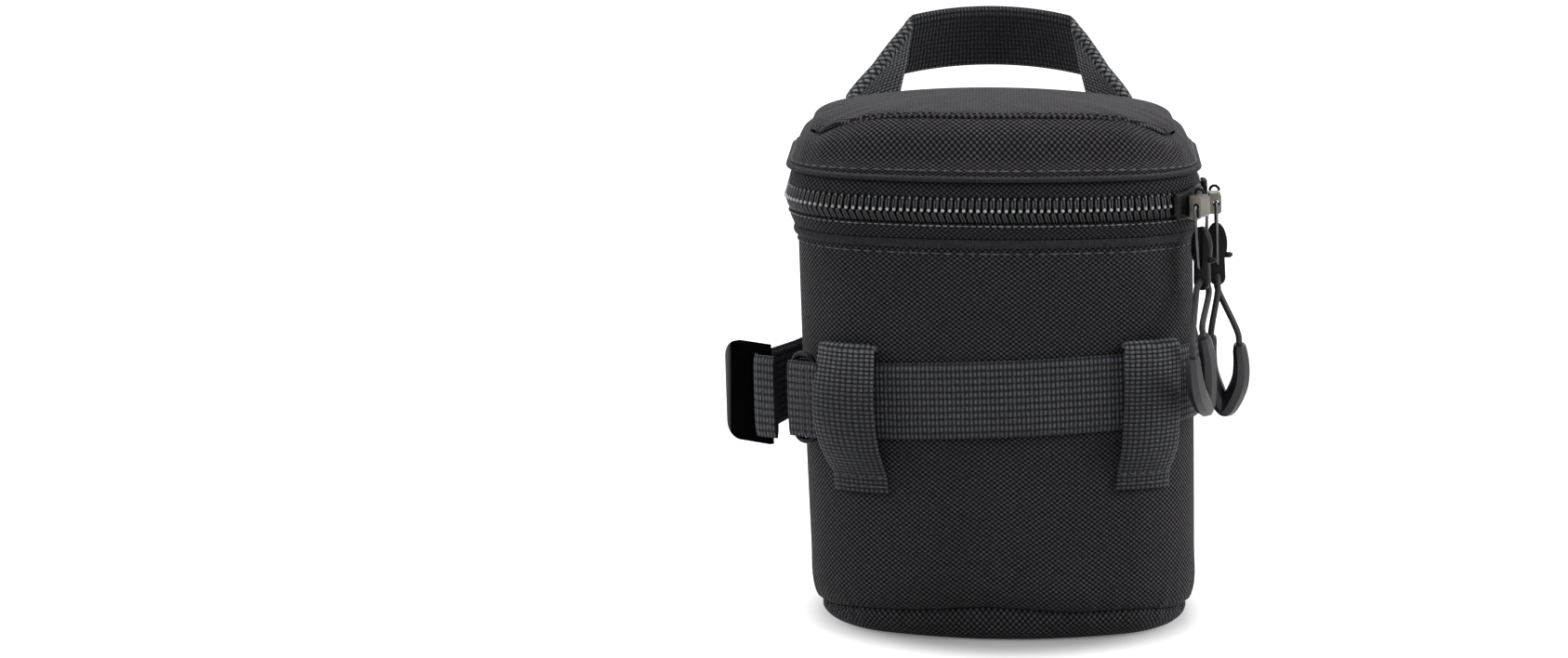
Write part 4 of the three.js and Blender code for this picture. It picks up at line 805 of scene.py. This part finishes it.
backValues = {
    "halfWidth": 26.0, "bottom": 12.0, "top": 96.0, "plane": 48.3, "cornerPower": 0.22,
    "shellRadius": 54.0, "shellBend": 0.52, "shellGap": 0.35,
    "shares": (0.985, 0.99, 0.995, 1.0, 0.995, 0.99, 0.985, 0.5, 0.02),
    "levels": (0.08, 0.22, 0.42, 0.7, 0.9, 1.0, 1.0, 1.0, 1.0),
}


# Flat padded board behind the shell. Its outline is a superellipse, (cos, sin) of the turn each to a
# small power. Rows go out from the middle by shares, and levels roll the edge over to the shell.
def makeBackPanel(v):
    around = np.linspace(0, 2 * pi, 160, endpoint=False)
    halfZ, middleZ = (v["top"] - v["bottom"]) / 2, (v["top"] + v["bottom"]) / 2
    ox, oz = (np.sign(wave) * np.abs(wave) ** v["cornerPower"] for wave in (np.cos(around), np.sin(around)))
    shares = np.concatenate([np.linspace(0.02, 0.97, 12), v["shares"]])[:, None]
    level = np.concatenate([np.zeros(12), v["levels"]])[:, None]
    x = shares * ox * v["halfWidth"]
    z = middleZ + shares * oz * halfZ
    shellY = planSizes["backReach"] - x ** 2 / (2 * v["shellRadius"]) * v["shellBend"] + v["shellGap"]
    y = v["plane"] + (np.minimum(shellY, v["plane"] - 1) - v["plane"]) * level
    u, w = (np.concatenate([q, q[:, :1]], 1) * mm for q in (x, z))
    panel = gridMesh("backBoard", np.stack([x, y, z], -1) * mm, False, True, u, w)
    finishPiece(panel, "body", "wovenPolyester", "back_panel")


makeBackPanel(backValues)


# Coil teeth: each loop of the coil comes down from the sewn edge as one leg, swells into a head at
# the mesh line and goes back as a second leg. The other row's heads stand half a pitch further on.
def coilLoop(v, upper, headReach):
    t = np.linspace(-1, 1, 13)
    away = np.clip((np.abs(t) - 0.18) / 0.82, 0, 1) ** 1.1
    up = headReach + (v["reach"] - headReach) * away
    slant = (0.15 if upper else 0.95) * up / v["reach"]
    side = v["legHalf"] * np.sin(np.clip(2.2 * t, -1, 1) * pi / 2) + slant
    path = np.stack([side, 1.1 + v["stand"] + 0.95 * (1 - away ** 2), up], -1)
    size = v["leg"] + (v["head"] - v["leg"]) * np.exp(-(t / 0.26) ** 2)
    return tubePoints(path, size, 7, np.array([0.0, 1.0, 0.0]))


# A row of teeth with painted highlight dots on its heads (upper row only), and pale grains: the thread that
# sews the lower row on, and on the upper row painted highlights at the coil's outer turns
def makeTeeth(name, direction, body, v):
    start, slot, upper = v["end"], name + "_zip_teeth", direction > 0
    count = int(round((planLength - 2 * start) / v["pitch"]))
    pitch = (planLength - 2 * start) / count
    s = start + (np.arange(count) + (0.25 if upper else 0.75)) * pitch
    parted = (s > sliderMiddles["front"] - v["meshReach"]) & (s < sliderMiddles["rear"] + v["travel"])
    closed, spread = coilLoop(v, upper, 0.0 if upper else 0.6), coilLoop(v, upper, 0.8)
    local = np.where(parted[:, None, None, None], spread, closed)
    points = onPlan(s[:, None, None] + local[..., 0], local[..., 1], v["mesh"] + direction * local[..., 2])
    finishPiece(manyGrids(name + "Teeth", points), body, "coilNylon", slot)
    if upper:
        # Painted highlight: pale grains on the heads of the closed coil
        heads, (out, up) = s[~parted], v["headPlace"]
        spots = onPlan(heads, out + v["stand"], v["mesh"] + up)
        stitchesAlong("coilHeadHighlights", body, slot, heads, spots, v["headSize"], "paintedHighlightNylon")
    dots = start + (np.arange(count) + 0.5) * pitch
    # Pale grains: on the lower row the thread that sews the coil on, on the upper row painted highlights on
    # its outer turns
    out, up, size, way = v["upperHighlightDot" if upper else "lowerStitch"]
    spots = onPlan(dots, v["stand"] + out, v["mesh"] + up)
    stitchesAlong(name + "CoilThreadAndHighlights", body, slot, dots, spots, size, "coilThreadAndHighlight", way)


# Zip tape: a strip of tape on each side, folded over the sewn edge of the coil, slightly wavy
def makeTape(name, direction, body, v):
    s = np.linspace(v["end"], planLength - v["end"], 420)[:, None]
    reach = np.array([0.5, 3.0, 3.3, 3.6, 4.4, 5.4, 6.4, 7.1, 7.1, 6.4, 4.4, 3.0, 0.5])
    offset = np.array([0.55, 0.62, 1.75, 2.0, 1.95, 1.6, 1.15, 0.95, 0.25, 0.25, 0.3, 0.3, 0.28])
    wave = 0.06 * gathers(s, (9.0, 14.0, 23.0), 5 + direction) * (reach > 3.2)
    points = onPlan(s, offset[None] + wave, (v["mesh"] + direction * reach)[None])
    tape = gridMesh(name + "Tape", points, False, True, s[:, 0] * mm, np.append(reach, reach[0]) * mm)
    finishPiece(tape, body, "zipTape", name + "_zip_tape")


for zipRow in (("lower", -1, "body"), ("upper", 1, "lid")):
    makeTeeth(*zipRow, zipSizes)
    makeTape(*zipRow, zipSizes)
print("zip made")


hingeValues = {"half": 26.8, "bottom": 102.7, "top": 115.9, "outer": 1.65, "inner": 0.6, "bulge": 0.25}


# Cloth between the zip's two ends, bowed out by a sine over its height
def makeHingeCloth(v):
    s = np.linspace(-v["half"], v["half"], 60)[:, None]
    z = np.linspace(v["bottom"], v["top"], 30)
    bulge = v["bulge"] * np.sin(pi * (z - v["bottom"]) / (v["top"] - v["bottom"]))
    offset = np.concatenate([v["outer"] + bulge, (v["inner"] + bulge)[::-1]])
    z = np.concatenate([z, z[::-1]])
    points = onPlan(s, offset[None], z[None])
    cloth = gridMesh("hingeCloth", points, False, True, s[:, 0] * mm, np.append(z, z[0]) * mm)
    cloth.data.materials.append(materials["wovenPolyester"])
    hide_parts("hinge_panel")
    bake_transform(cloth)


makeHingeCloth(hingeValues)


lidValues = {
    "bandBottom": 117.8, "bandOffset": 1.7, "creaseFront": 131.9, "sideDrop": 6.4, "sideOffset": 3.5,
    "frontInset": 2.5, "top": 134.6, "backFall": 0.34, "pillow": 0.42, "cloth": 1.2, "gather": 0.05,
    "tuck": 0.5, "stitch": (2.1, 0.5), "stitchPitch": 2.9, "liningDepths": (5.6, 6.3),
    "creaseHalf": 46.0, "creasePower": 4.6,
    "lip": {"nose": (1.75, 117.1), "half": (0.9, 0.72), "band": (1.75, -3.4), "heights": (117.7, 116.42),
            "run": 14},
}


# The lid's crease: its offset and height change from the front's middle to the sides, with a high
# power of x over half the width
def lidCrease(x, v):
    side = np.minimum(1, np.abs(x / v["creaseHalf"]) ** v["creasePower"])
    return -v["sideOffset"] - v["frontInset"] * (1 - side), v["creaseFront"] - v["sideDrop"] * side


# A point of the lid, its height above the band's foot shrinking towards the back, then sunk by depth
def lidPoint(x, y, z, sink, v):
    point = np.stack(np.broadcast_arrays(x, y, z), -1)
    fall = 1 - v["backFall"] * np.maximum(0, point[..., 1]) / planSizes["backReach"]
    point[..., 2] = v["bandBottom"] + (point[..., 2] - v["bandBottom"]) * fall - sink
    return point


# Band: t runs up from the lip to the crease along a smooth leaning profile
def lidBandPoints(s, t, depth, v):
    x, y, nx, ny = planAt(s)
    creaseOffset, creaseHeight = lidCrease(x, v)
    up = smoothThrough([0, 0.25, 0.7, 1.0], t)
    out = smoothThrough([0, 0.3, 0.6, 1.0], t)
    normalOut = np.interp(t, [0, 0.33, 0.66, 1], [1, 1, 0.9, 0.75])
    normalUp = np.interp(t, [0, 0.33, 0.66, 1], [0, 0.1, 0.35, 0.6])
    offset = v["bandOffset"] + (creaseOffset - v["bandOffset"]) * out - depth * normalOut
    height = v["bandBottom"] + (creaseHeight - v["bandBottom"]) * up
    return lidPoint(x + offset * nx, y + offset * ny, height, depth * normalUp, v)


# Top: a runs in from the crease to the middle, and the height rises by (1 - (1 - a)^2)^pillow
def lidTopPoints(s, a, depth, v):
    x, y, nx, ny = planAt(s)
    creaseOffset, creaseHeight = lidCrease(x, v)
    rise = (1 - (1 - a) ** 2) ** v["pillow"]
    normalOut = np.interp(a, [0.008, 0.05, 0.14, 0.32, 0.6], [0.6, 0.4, 0.22, 0.1, 0.05])
    normalUp = np.interp(a, [0.008, 0.05, 0.14], [0.75, 0.92, 1.0])
    offset = creaseOffset - depth * normalOut
    return lidPoint((x + offset * nx) * (1 - a), (y + offset * ny) * (1 - a),
                    creaseHeight + (v["top"] - creaseHeight) * rise, depth * normalUp, v)


# A sheet over rings that is open in its middle, with the weave laid square to x and y
def openSheet(name, body, finish, slot, points, sharp=None):
    wide = np.concatenate([points, points[:1]], 0)
    sheet = gridMesh(name, points, True, False, wide[..., 0], wide[..., 1], sharp)
    finishPiece(sheet, body, finish, slot)
    return sheet


# Lid: band and top over the plan, rolled in at their edges and pushed out by soft gathers
def makeLid(v):
    s, wrapped = planRing(760)
    fine = gathers(s, (2.6, 3.7, 5.3, 8.1), 33)
    broad = gathers(s, (9.0, 14.0, 21.0, 33.0), 21)
    t = np.linspace(0, 1, 34)[None]
    lift = t * 15
    sideways = np.clip((np.abs(planAt(s)[0]) - 22) / 14, 0, 1)
    front = 1 - 0.97 * sideways
    roll = 0.4 * (np.exp(-(lift / 1.1) ** 2) + front * np.exp(-((15 - lift) / 0.9) ** 2))
    soft = v["gather"] * fine * (np.exp(-((15 - lift) / 2.4)) + 0.5 * np.exp(-lift / 1.8)) \
        + 0.28 * broad * np.sin(pi * t) ** 0.7 + 0.35 * np.sin(pi * t)
    outer = lidBandPoints(s, t, roll - soft, v)
    inner = lidBandPoints(s, t[:, ::-1], v["cloth"], v)
    run = np.linspace(0, 15.5, t.shape[1])
    band = gridMesh("lidBand", np.concatenate([outer, inner], 1) * mm, True, True, wrapped,
                    np.concatenate([run, run[::-1], run[:1]]) * mm, sharp=70)
    finishPiece(band, "lid", "wovenPolyester", "lid_side_band")
    wide = float(np.linalg.norm(np.diff(outer, axis=1), axis=-1).sum(1).mean()) * mm

    # Top: a padded, domed panel, gathered into the crease, with its edge tucked just below it
    a = np.concatenate([0.006 + 0.16 * np.linspace(0, 1, 20) ** 1.6, np.linspace(0.19, 0.985, 20)])[None]
    roll = 0.35 * front * np.exp(-(a / 0.014) ** 2)
    soft = v["gather"] * fine * np.exp(-a / 0.06) + 0.3 * broad * np.exp(-((a - 0.12) / 0.12) ** 2)
    outer = lidTopPoints(s, a, roll - soft, v)
    outer[..., 2] -= v["tuck"] * np.exp(-((a - a[:, :1]) / 0.004) ** 2)
    inner = lidTopPoints(s, a[:, ::-1], v["cloth"], v)
    points = np.concatenate([outer[:, ::-1], inner[:, ::-1]], 1) * mm
    openSheet("lidTop", "lid", "wovenPolyester", "lid_top_panel", points, sharp=70)

    # Piped crease between band and top, and the flared lip with its stitches
    fade = 1 - sideways[:, 0]
    ridge = lidBandPoints(s[:, 0], np.ones(len(s)), 0.42 - 0.1 * fade, v) * mm
    piping = tube("lidPiping", ridge, (0.42 + 0.14 * fade) * mm, 10, np.array([0, 0, 1.0]), closed=True)
    finishPiece(piping, "lid", "wovenPolyester", "lid_side_band", stands=False)
    makeLip("lidLip", s, wrapped, "lid", "lid_binding", v["lip"])
    places = stitchPlaces(v["stitchPitch"])
    spots = lidBandPoints(places, np.full(len(places), 0.13), -0.12, v) * mm
    stitchesAlong("lidStitches", "lid", "lid_binding", places, spots, v["stitch"])

    # Lining under the foam, closed in the middle
    ring, _ = planRing(160)
    t, a = np.linspace(0, 1, 6)[None], np.array([0.03, 0.1, 0.25, 0.5, 0.8, 0.97])[None]
    outer, inner = (np.concatenate([lidBandPoints(ring, t, depth, v), lidTopPoints(ring, a, depth, v)], 1)
                    for depth in v["liningDepths"])
    points = np.concatenate([outer[:, ::-1], inner], 1) * mm
    openSheet("lidLining", "lid", "brushedLining", "lid_lining", points)
    print("lid made")


makeLid(lidValues)


beltValues = {
    "thick": 1.4, "width": 19.1, "bottom": 52.6, "tilt": 0.045, "lead": 10.9, "tail": 10.0, "leave": 0.68,
    "leaveReach": 9.0, "ringWire": 1.6, "plateBar": (-58.7, -14.5), "drop": 1.8, "ringWidth": 7.0,
    "ringHeight": 21.8, "ringCorner": 3.1, "plateWay": (-0.76, 0.65), "gap": 0.3, "sample": 1.2,
    "barWidth": 2.2, "plateThick": 2.6, "strapTail": 5.5, "barSpread": 0.1, "panelHalf": 26.0, "step": 4.2,
    "foldStitch": (1.25, 0.4), "foldRows": (5.2, 7.4), "foldPitch": 1.55, "boardRise": 2,
}


# How far out the belt's middle runs: over the back board's plane near the middle of the back, then
# down a straight ramp to the shell
def beltOffset(s, v):
    away = np.minimum(np.mod(s, planLength), planLength - np.mod(s, planLength))
    lift = v["gap"] + v["thick"] / 2
    surface = bodyOffset(v["bottom"] + v["width"] / 2) + lift
    _, y, _, ny = planAt(np.minimum(away, v["panelHalf"]))
    overPanel = (planSizes["backReach"] + v["boardRise"] + v["gap"] - y) / ny + lift
    ramp = np.clip((away - v["panelHalf"] - v["step"]) / (3 * v["step"]), 0, 1)
    return overPanel + (surface - overPanel) * ramp


# The belt's line seen from above, from the sewn tail round the ring's wire, over the front and the
# back, and round the plate's bar: straight runs, the plan's offset curve and two half turns
def beltLine(v):
    route = lambda s: onPlan(s, beltOffset(s, v), 0)[..., :2] / mm
    line = lambda a, b, count: a + (b - a) * np.linspace(0, 1, count)[:, None]
    turned = lambda centre, radius, start, sweep: centre + radius * np.stack(
        [np.cos(start + sweep * np.linspace(0, 1, 15)), np.sin(start + sweep * np.linspace(0, 1, 15))], -1)
    leave = planStarts[3] + planLengths[3] * v["leave"]
    _, _, nx, ny = (float(q) for q in planAt(leave))
    way, face = np.array([ny, -nx]), np.array([nx, ny])
    lift = v["gap"] + v["thick"] / 2
    fold = v["ringWire"] / 2 + lift
    rod = route(leave) + way * v["lead"] + face * fold
    bar, plateWay = np.array(v["plateBar"]), unit(np.array(v["plateWay"]))
    ringTurn = turned(rod, fold, math.atan2(face[1], face[0]), pi)
    front = route(np.arange(leave, planLength, v["sample"]))
    rear = route(np.arange(v["sample"], planStarts[2] + v["leaveReach"], v["sample"]))
    lead = math.atan2(bar[1] - rear[-1][1], bar[0] - rear[-1][0])
    tailAngle = math.atan2(plateWay[0], -plateWay[1])
    barFold = math.hypot(v["barWidth"], v["plateThick"]) / 2 + lift
    barTurn = turned(bar, barFold, lead - pi / 2, (tailAngle - lead + pi / 2) % (2 * pi))
    free, back = line(ringTurn[-1], front[0], 10)[1:-1], line(rear[-1], barTurn[0], 16)[1:-1]
    parts = [line(ringTurn[0] - way * v["tail"], ringTurn[0], 8)[:-1], ringTurn, free, front, rear, back,
             barTurn, line(barTurn[-1], barTurn[-1] - plateWay * v["strapTail"], 8)[1:]]
    before, ramp = sum(len(q) for q in parts[:4]), len(rear) + len(back)
    points = np.concatenate(parts)
    drop = v["drop"] * np.clip((np.arange(len(points)) - before) / ramp, 0, 1)
    return points, drop, rod, way, face, fold


# Belt: a strip as high as the belt over its line, which rises with x and sinks towards the plate
def makeBelt(v):
    line, drop, rod, way, face, fold = beltLine(v)
    across, half = np.linspace(0, v["width"], 15), v["width"] / 2
    spread = 1 + v["barSpread"] * np.clip((np.arange(len(line)) - (len(line) - 34)) / 12, 0, 1)[:, None]
    z = v["bottom"] - drop[:, None] + v["tilt"] * line[:, :1] + half + (across[None] - half) * spread
    middle = np.stack(np.broadcast_arrays(line[:, :1], line[:, 1:], z), -1) * mm
    run = runAlong(middle[:, 7])
    belt = strap("belt", middle, v["thick"] * mm, run[:, None], across * mm)
    finishPiece(belt, "body", "nylonWebbing", "belt_webbing")

    # Two columns of stitches that hold the belt's fold, on the tail's outer face
    rows = np.arange(1.4, v["width"] - 1, v["foldPitch"])
    spots = []
    for back in v["foldRows"]:
        spot = rod + face * (fold + v["thick"] / 2 + 0.02) - way * back
        spots.append(np.stack(np.broadcast_arrays(*spot, v["bottom"] + v["tilt"] * spot[0] + rows), -1))
    spots = np.concatenate(spots) * mm
    outward, up = (np.broadcast_to(np.array(q), spots.shape) for q in ([face[0], face[1], 0], [0, 0, 1.0]))
    stitches = stitchRun("foldStitches", spots, up, outward, v["foldStitch"][0] * mm, v["foldStitch"][1] * mm)
    finishPiece(stitches, "body", "sewingThread", "belt_webbing", stands=False)

    # Ring: smooth wire round the same frame as the CAD's, flat between the fold's two layers
    x, z = v["ringWidth"] / 2 - v["ringCorner"], v["ringHeight"] / 2 - v["ringCorner"]
    middle = np.append(rod - way * v["ringWidth"] / 2, 0)
    middle[2] = v["bottom"] + half + v["tilt"] * middle[0]
    outline = roundedOutline([(x, z), (-x, z), (-x, -z), (x, -z)], v["ringCorner"], 9)
    path = middle + outline[:, :1] * np.append(-way, 0) + outline[:, 1:] * np.array([0, 0, 1.0])
    ring = tube("ring", path * mm, v["ringWire"] / 2 * mm, 14, np.array([-way[1], way[0], 0]), closed=True)
    finishPiece(ring, "body", "blackLacquer", "belt_ring")
    finishPiece(roundedCopy("plate", "buckle_plate", 0.5, 3), "buckle_plate", "glossAcetal", "buckle_plate")
    print("belt made")


# The last five are each loop's side, reach from the front's middle, slant of its foot, lift and bow
loopValues = {
    "width": 14.5, "bottom": 38.0, "top": 75.6, "stand": 3.6, "crown": 3.4, "fold": 1.35, "thick": 1.4,
    # After sewn comes the painted highlight near each loop's top: the height where it starts, the height over
    # which it grows, and its largest share
    "sewn": 0.12, "highlightFrom": 62, "highlightOver": 12, "highlightMost": 0.6, "stitch": (1.8, 0.45),
    "stitchRows": (1.6, 4.0),
    "left": (-1, 37.4, 2.0, -0.4, 3.1), "right": (1, 38.3, 2.2, 0.9, 0.25),
}


# Loop: up the front in a shallow bow, a power of a sine, over a sharp fold and down behind it
def makeLoops(v):
    turnZ = v["top"] - v["thick"] / 2 - v["fold"]
    t = np.linspace(0, 1, 44)
    flat = 0.3 + v["thick"] / 2
    standing = np.clip((t - v["sewn"]) / (1 - v["sewn"]), 0, 1)
    blend = np.clip((t - 0.85) / 0.15, 0, 1)
    offset = flat + (v["stand"] - flat) * np.sin(np.minimum(1, standing * 3.6) * pi / 2) \
        + (v["crown"] - v["stand"]) * blend ** 2
    angle = np.linspace(0, pi, 14)[1:]
    offset = np.concatenate([offset, v["crown"] - v["fold"] * (1 - np.cos(angle))])
    z = np.concatenate([v["bottom"] + (turnZ - v["bottom"]) * t, turnZ + v["fold"] * np.sin(angle)])
    bow = np.append(np.sin(pi * standing) ** 1.4, np.zeros(len(angle)))
    across = np.linspace(-v["width"] / 2, v["width"] / 2, 17)
    high = np.clip((z - v["bottom"] - 4) / 12, 0, 1)[:, None]
    cup = 0.7 * (1 - (2 * across / v["width"]) ** 2) * high - 0.3 * high
    for name in ("left", "right"):
        side, middleReach, lean, lift, bulge = v[name]
        slot = name + "_belt_loop"
        shifted = lambda up: planLength / 2 + side * middleReach \
            - side * lean * np.clip(1 - up / (v["top"] - v["bottom"]), 0, 1) ** 1.8
        s = shifted(z - v["bottom"])[:, None] + across
        points = onPlan(s, (offset + bulge * bow + bodyOffset(z))[:, None] + cup, (z + lift)[:, None])
        run = runAlong(points[:, 8])
        loop = strap(name + "Loop", points, v["thick"] * mm, run[:, None], (across + v["width"] / 2) * mm)
        # Painted highlight: the yarn is drawn paler from a height up to the loop's top fold
        pale = v["highlightMost"] * np.clip((z - v["highlightFrom"]) / v["highlightOver"], 0, 1)
        setPaintedHighlightShare(loop, np.broadcast_to(pale[:, None], s.shape))
        finishPiece(loop, "body", "foldedNylonWebbing", slot)
        up = np.repeat(v["stitchRows"], 6)
        places = shifted(up) + np.tile(np.arange(-5.75, 6, 2.3), 2)
        spots = onPlan(places, flat + v["thick"] / 2 + bodyOffset(v["bottom"] + up), v["bottom"] + up + lift)
        stitchesAlong(name + "LoopStitches", "body", slot, places, spots, v["stitch"])
    print("loops made")


makeBelt(beltValues)
makeLoops(loopValues)


handleValues = {
    "width": 19.0, "radius": 46.0, "centreY": 2.5, "legReach": 45.4, "fold": 1.3, "foldHeight": 126.0,
    "arch": 6.4, "lean": 8.4, "leanPower": 1.3, "rise": 0.85, "soften": 9, "narrowFrom": 24.0, "narrow": 0.15,
    "pinchHeights": (124, 130, 136, 142, 147), "pinchShares": (-0.02, 0.03, 0.055, 0.026, 0.0),
    "sink": 7.0, "thick": 1.4,
}


# The flat strip is rolled over a diagonal of the leg, bent round an upright cylinder, leant inwards
# towards its top edge, and arched by 1 - (sweep / reach)^2
def handlePoint(along, across, half, v):
    mirrored = along > half
    legHeight = np.where(mirrored, 2 * half - along, along) - v["sink"]
    root = math.sqrt(2)
    beyond, beside = (legHeight - across) / root, (legHeight + across) / root
    turn = np.clip(beyond / v["fold"], 0, pi)
    reach = np.where(beyond < 0, beyond, v["fold"] * np.sin(turn) - np.maximum(0, beyond - pi * v["fold"]))
    layer = v["fold"] * (1 - np.cos(turn))
    sweep = -v["legReach"] + (beside - reach) / root
    rise = (beside + reach) / root
    radius = v["radius"] + layer - v["lean"] * np.clip(rise / v["width"], 0, 1) ** v["leanPower"]
    angle = sweep / v["radius"]
    arch = v["arch"] * (1 - (sweep / v["legReach"]) ** 2)
    x = radius * np.sin(angle)
    z = v["foldHeight"] + rise * np.where(rise > 0, v["rise"], 1) + arch
    return np.stack([np.where(mirrored, -x, x), v["centreY"] + radius * np.cos(angle), z], -1) * mm


# Handle: foot, fold and half the band as rows of distances along the strip, mirrored for the other
# half, softened by averaging neighbours, then narrowed and pinched towards the photo's outline
def makeHandle(v):
    half = v["legReach"] + v["sink"] + pi * v["fold"] / math.sqrt(2)
    across = np.linspace(0, v["width"], 23)[None]
    foldEnd = v["sink"] + math.sqrt(2) * pi * v["fold"]
    foot, fold, band = (np.linspace(0, 1, count)[:, None] for count in (14, 26, 60))
    fold, band = fold[1:], band[1:]
    rows = np.concatenate([foot * (v["sink"] + across), v["sink"] + (foldEnd - v["sink"]) * fold + across,
                           foldEnd + (half - foldEnd) * band + across * (1 - band)])
    rows = np.concatenate([rows, (2 * half - rows[:-1])[::-1]])
    middle = handlePoint(rows, np.broadcast_to(across, rows.shape), half, v)
    for _ in range(v["soften"]):
        middle[1:-1] = (middle[:-2] + 2 * middle[1:-1] + middle[2:]) / 4
    middle[..., 0] -= v["narrow"] * np.maximum(0, middle[..., 0] - v["narrowFrom"] * mm)
    middle[..., 0] *= 1 - np.interp(middle[..., 2] / mm, v["pinchHeights"], v["pinchShares"])
    handle = strap("handle", middle, v["thick"] * mm, rows * mm, across * mm)
    legHeight = np.minimum(rows, 2 * half - rows) - v["sink"]
    beyond = (legHeight - across) / math.sqrt(2)
    # Painted highlight: the legs' faces take the paler yarn colour, while the band behind them stays dark
    setPaintedHighlightShare(handle, np.clip(0.5 + (pi * v["fold"] / 2 - beyond) / 1.5, 0, 1))
    finishPiece(handle, "lid", "handleWebbing", "handle_webbing")
    print("handle made")


makeHandle(handleValues)


for foamSlot in bpy.data.objects["lid_foam"].material_slots:
    foamSlot.material = materials["closedCellFoam"]


studio = {
    "floor": "#a8a8a8", "glow": 0.16, "glowFrom": 0.044, "glowTo": 0.07, "squeeze": (1.2, 1.0, 1.0),
    "world": 0.12,
    "lamps": {  # place, height that it points at, size, power
        "leftLamp": ((-1.6, -0.3, 0.9), 0.08, 0.9, 11.0), "rightLamp": ((1.6, -0.3, 0.85), 0.08, 0.9, 19.0),
        "frontLamp": ((-0.3, -1.9, 1.3), 0.08, 0.8, 7.0), "topLamp": ((0.0, 0.4, 1.65), 0.1, 0.8, 20.0),
    },
}


# 1 for what the camera sees, also in glossy and clear things, and 0 for rays that carry light
def seenRays(add):
    rays = add("LightPath").node.outputs
    shown = add("Math", [rays["Is Glossy Ray"], rays["Is Transmission Ray"]], operation="MAXIMUM")
    return add("Math", [rays["Is Camera Ray"], shown], operation="MAXIMUM")


# Paper floor: its glow is weak near the pouch, which paints shade round its foot besides its real shadow, and
# turns plain white further out
def makeFloor(v):
    add = newMaterial("paperSweep")
    squeezed = add("VectorMath", [add("TexCoord", output="Object"), v["squeeze"]], operation="MULTIPLY")
    away = add("VectorMath", [squeezed], 1, operation="LENGTH")
    # Painted shade: the glow is weak in an oval round the pouch's foot and grows to full white further out
    glowWithPaintedShade = add("MapRange", {"Value": away, "From Min": v["glowFrom"], "From Max": v["glowTo"],
                                "To Min": v["glow"], "To Max": 1.0}, interpolation_type="SMOOTHSTEP")
    strength = add("Math", [seenRays(add), glowWithPaintedShade], operation="MULTIPLY")
    glow = add("Emission", {"Color": (1, 1, 1, 1), "Strength": strength})
    shade = add("BsdfDiffuse", {"Color": linear(v["floor"])})
    add("OutputMaterial", [add("AddShader", [shade, glow])])
    x, y = np.meshgrid(np.linspace(-3, 3, 9), np.linspace(-2.5, 3, 9), indexing="ij")
    index = np.arange(81).reshape(9, 9)
    quads = np.stack([index[:-1, :-1], index[1:, :-1], index[1:, 1:], index[:-1, 1:]], -1).reshape(-1, 4)
    floor = addMesh("floor", np.stack([x, y, 0 * x - 0.0002], -1), quads.tolist())
    floor.data.materials.append(materials["paperSweep"])


# Studio: the floor, a white world that gives weak light, and square lamps that face the pouch
def makeStudio(v):
    makeFloor(v)
    world = bpy.data.worlds.new("studioWorld")
    bpy.context.scene.world = world
    world.use_nodes = True
    add = nodeAdder(world.node_tree)
    strength = add("MapRange", {"Value": seenRays(add), "To Min": v["world"], "To Max": 1.0})
    add("OutputWorld", [add("Background", {"Color": (1, 1, 1, 1), "Strength": strength})])
    for name, (place, aim, size, power) in v["lamps"].items():
        data = bpy.data.lights.new(name, "AREA")
        data.shape, data.size, data.energy = "SQUARE", size, power
        lamp = addObject(name, data)
        lamp.location = place
        x, y, z = place
        lamp.rotation_euler = (math.atan2(math.hypot(x, y), z - aim), 0, math.atan2(x, -y))


makeStudio(studio)
bpy.context.scene.view_settings.view_transform = "Standard"
print("studio made")
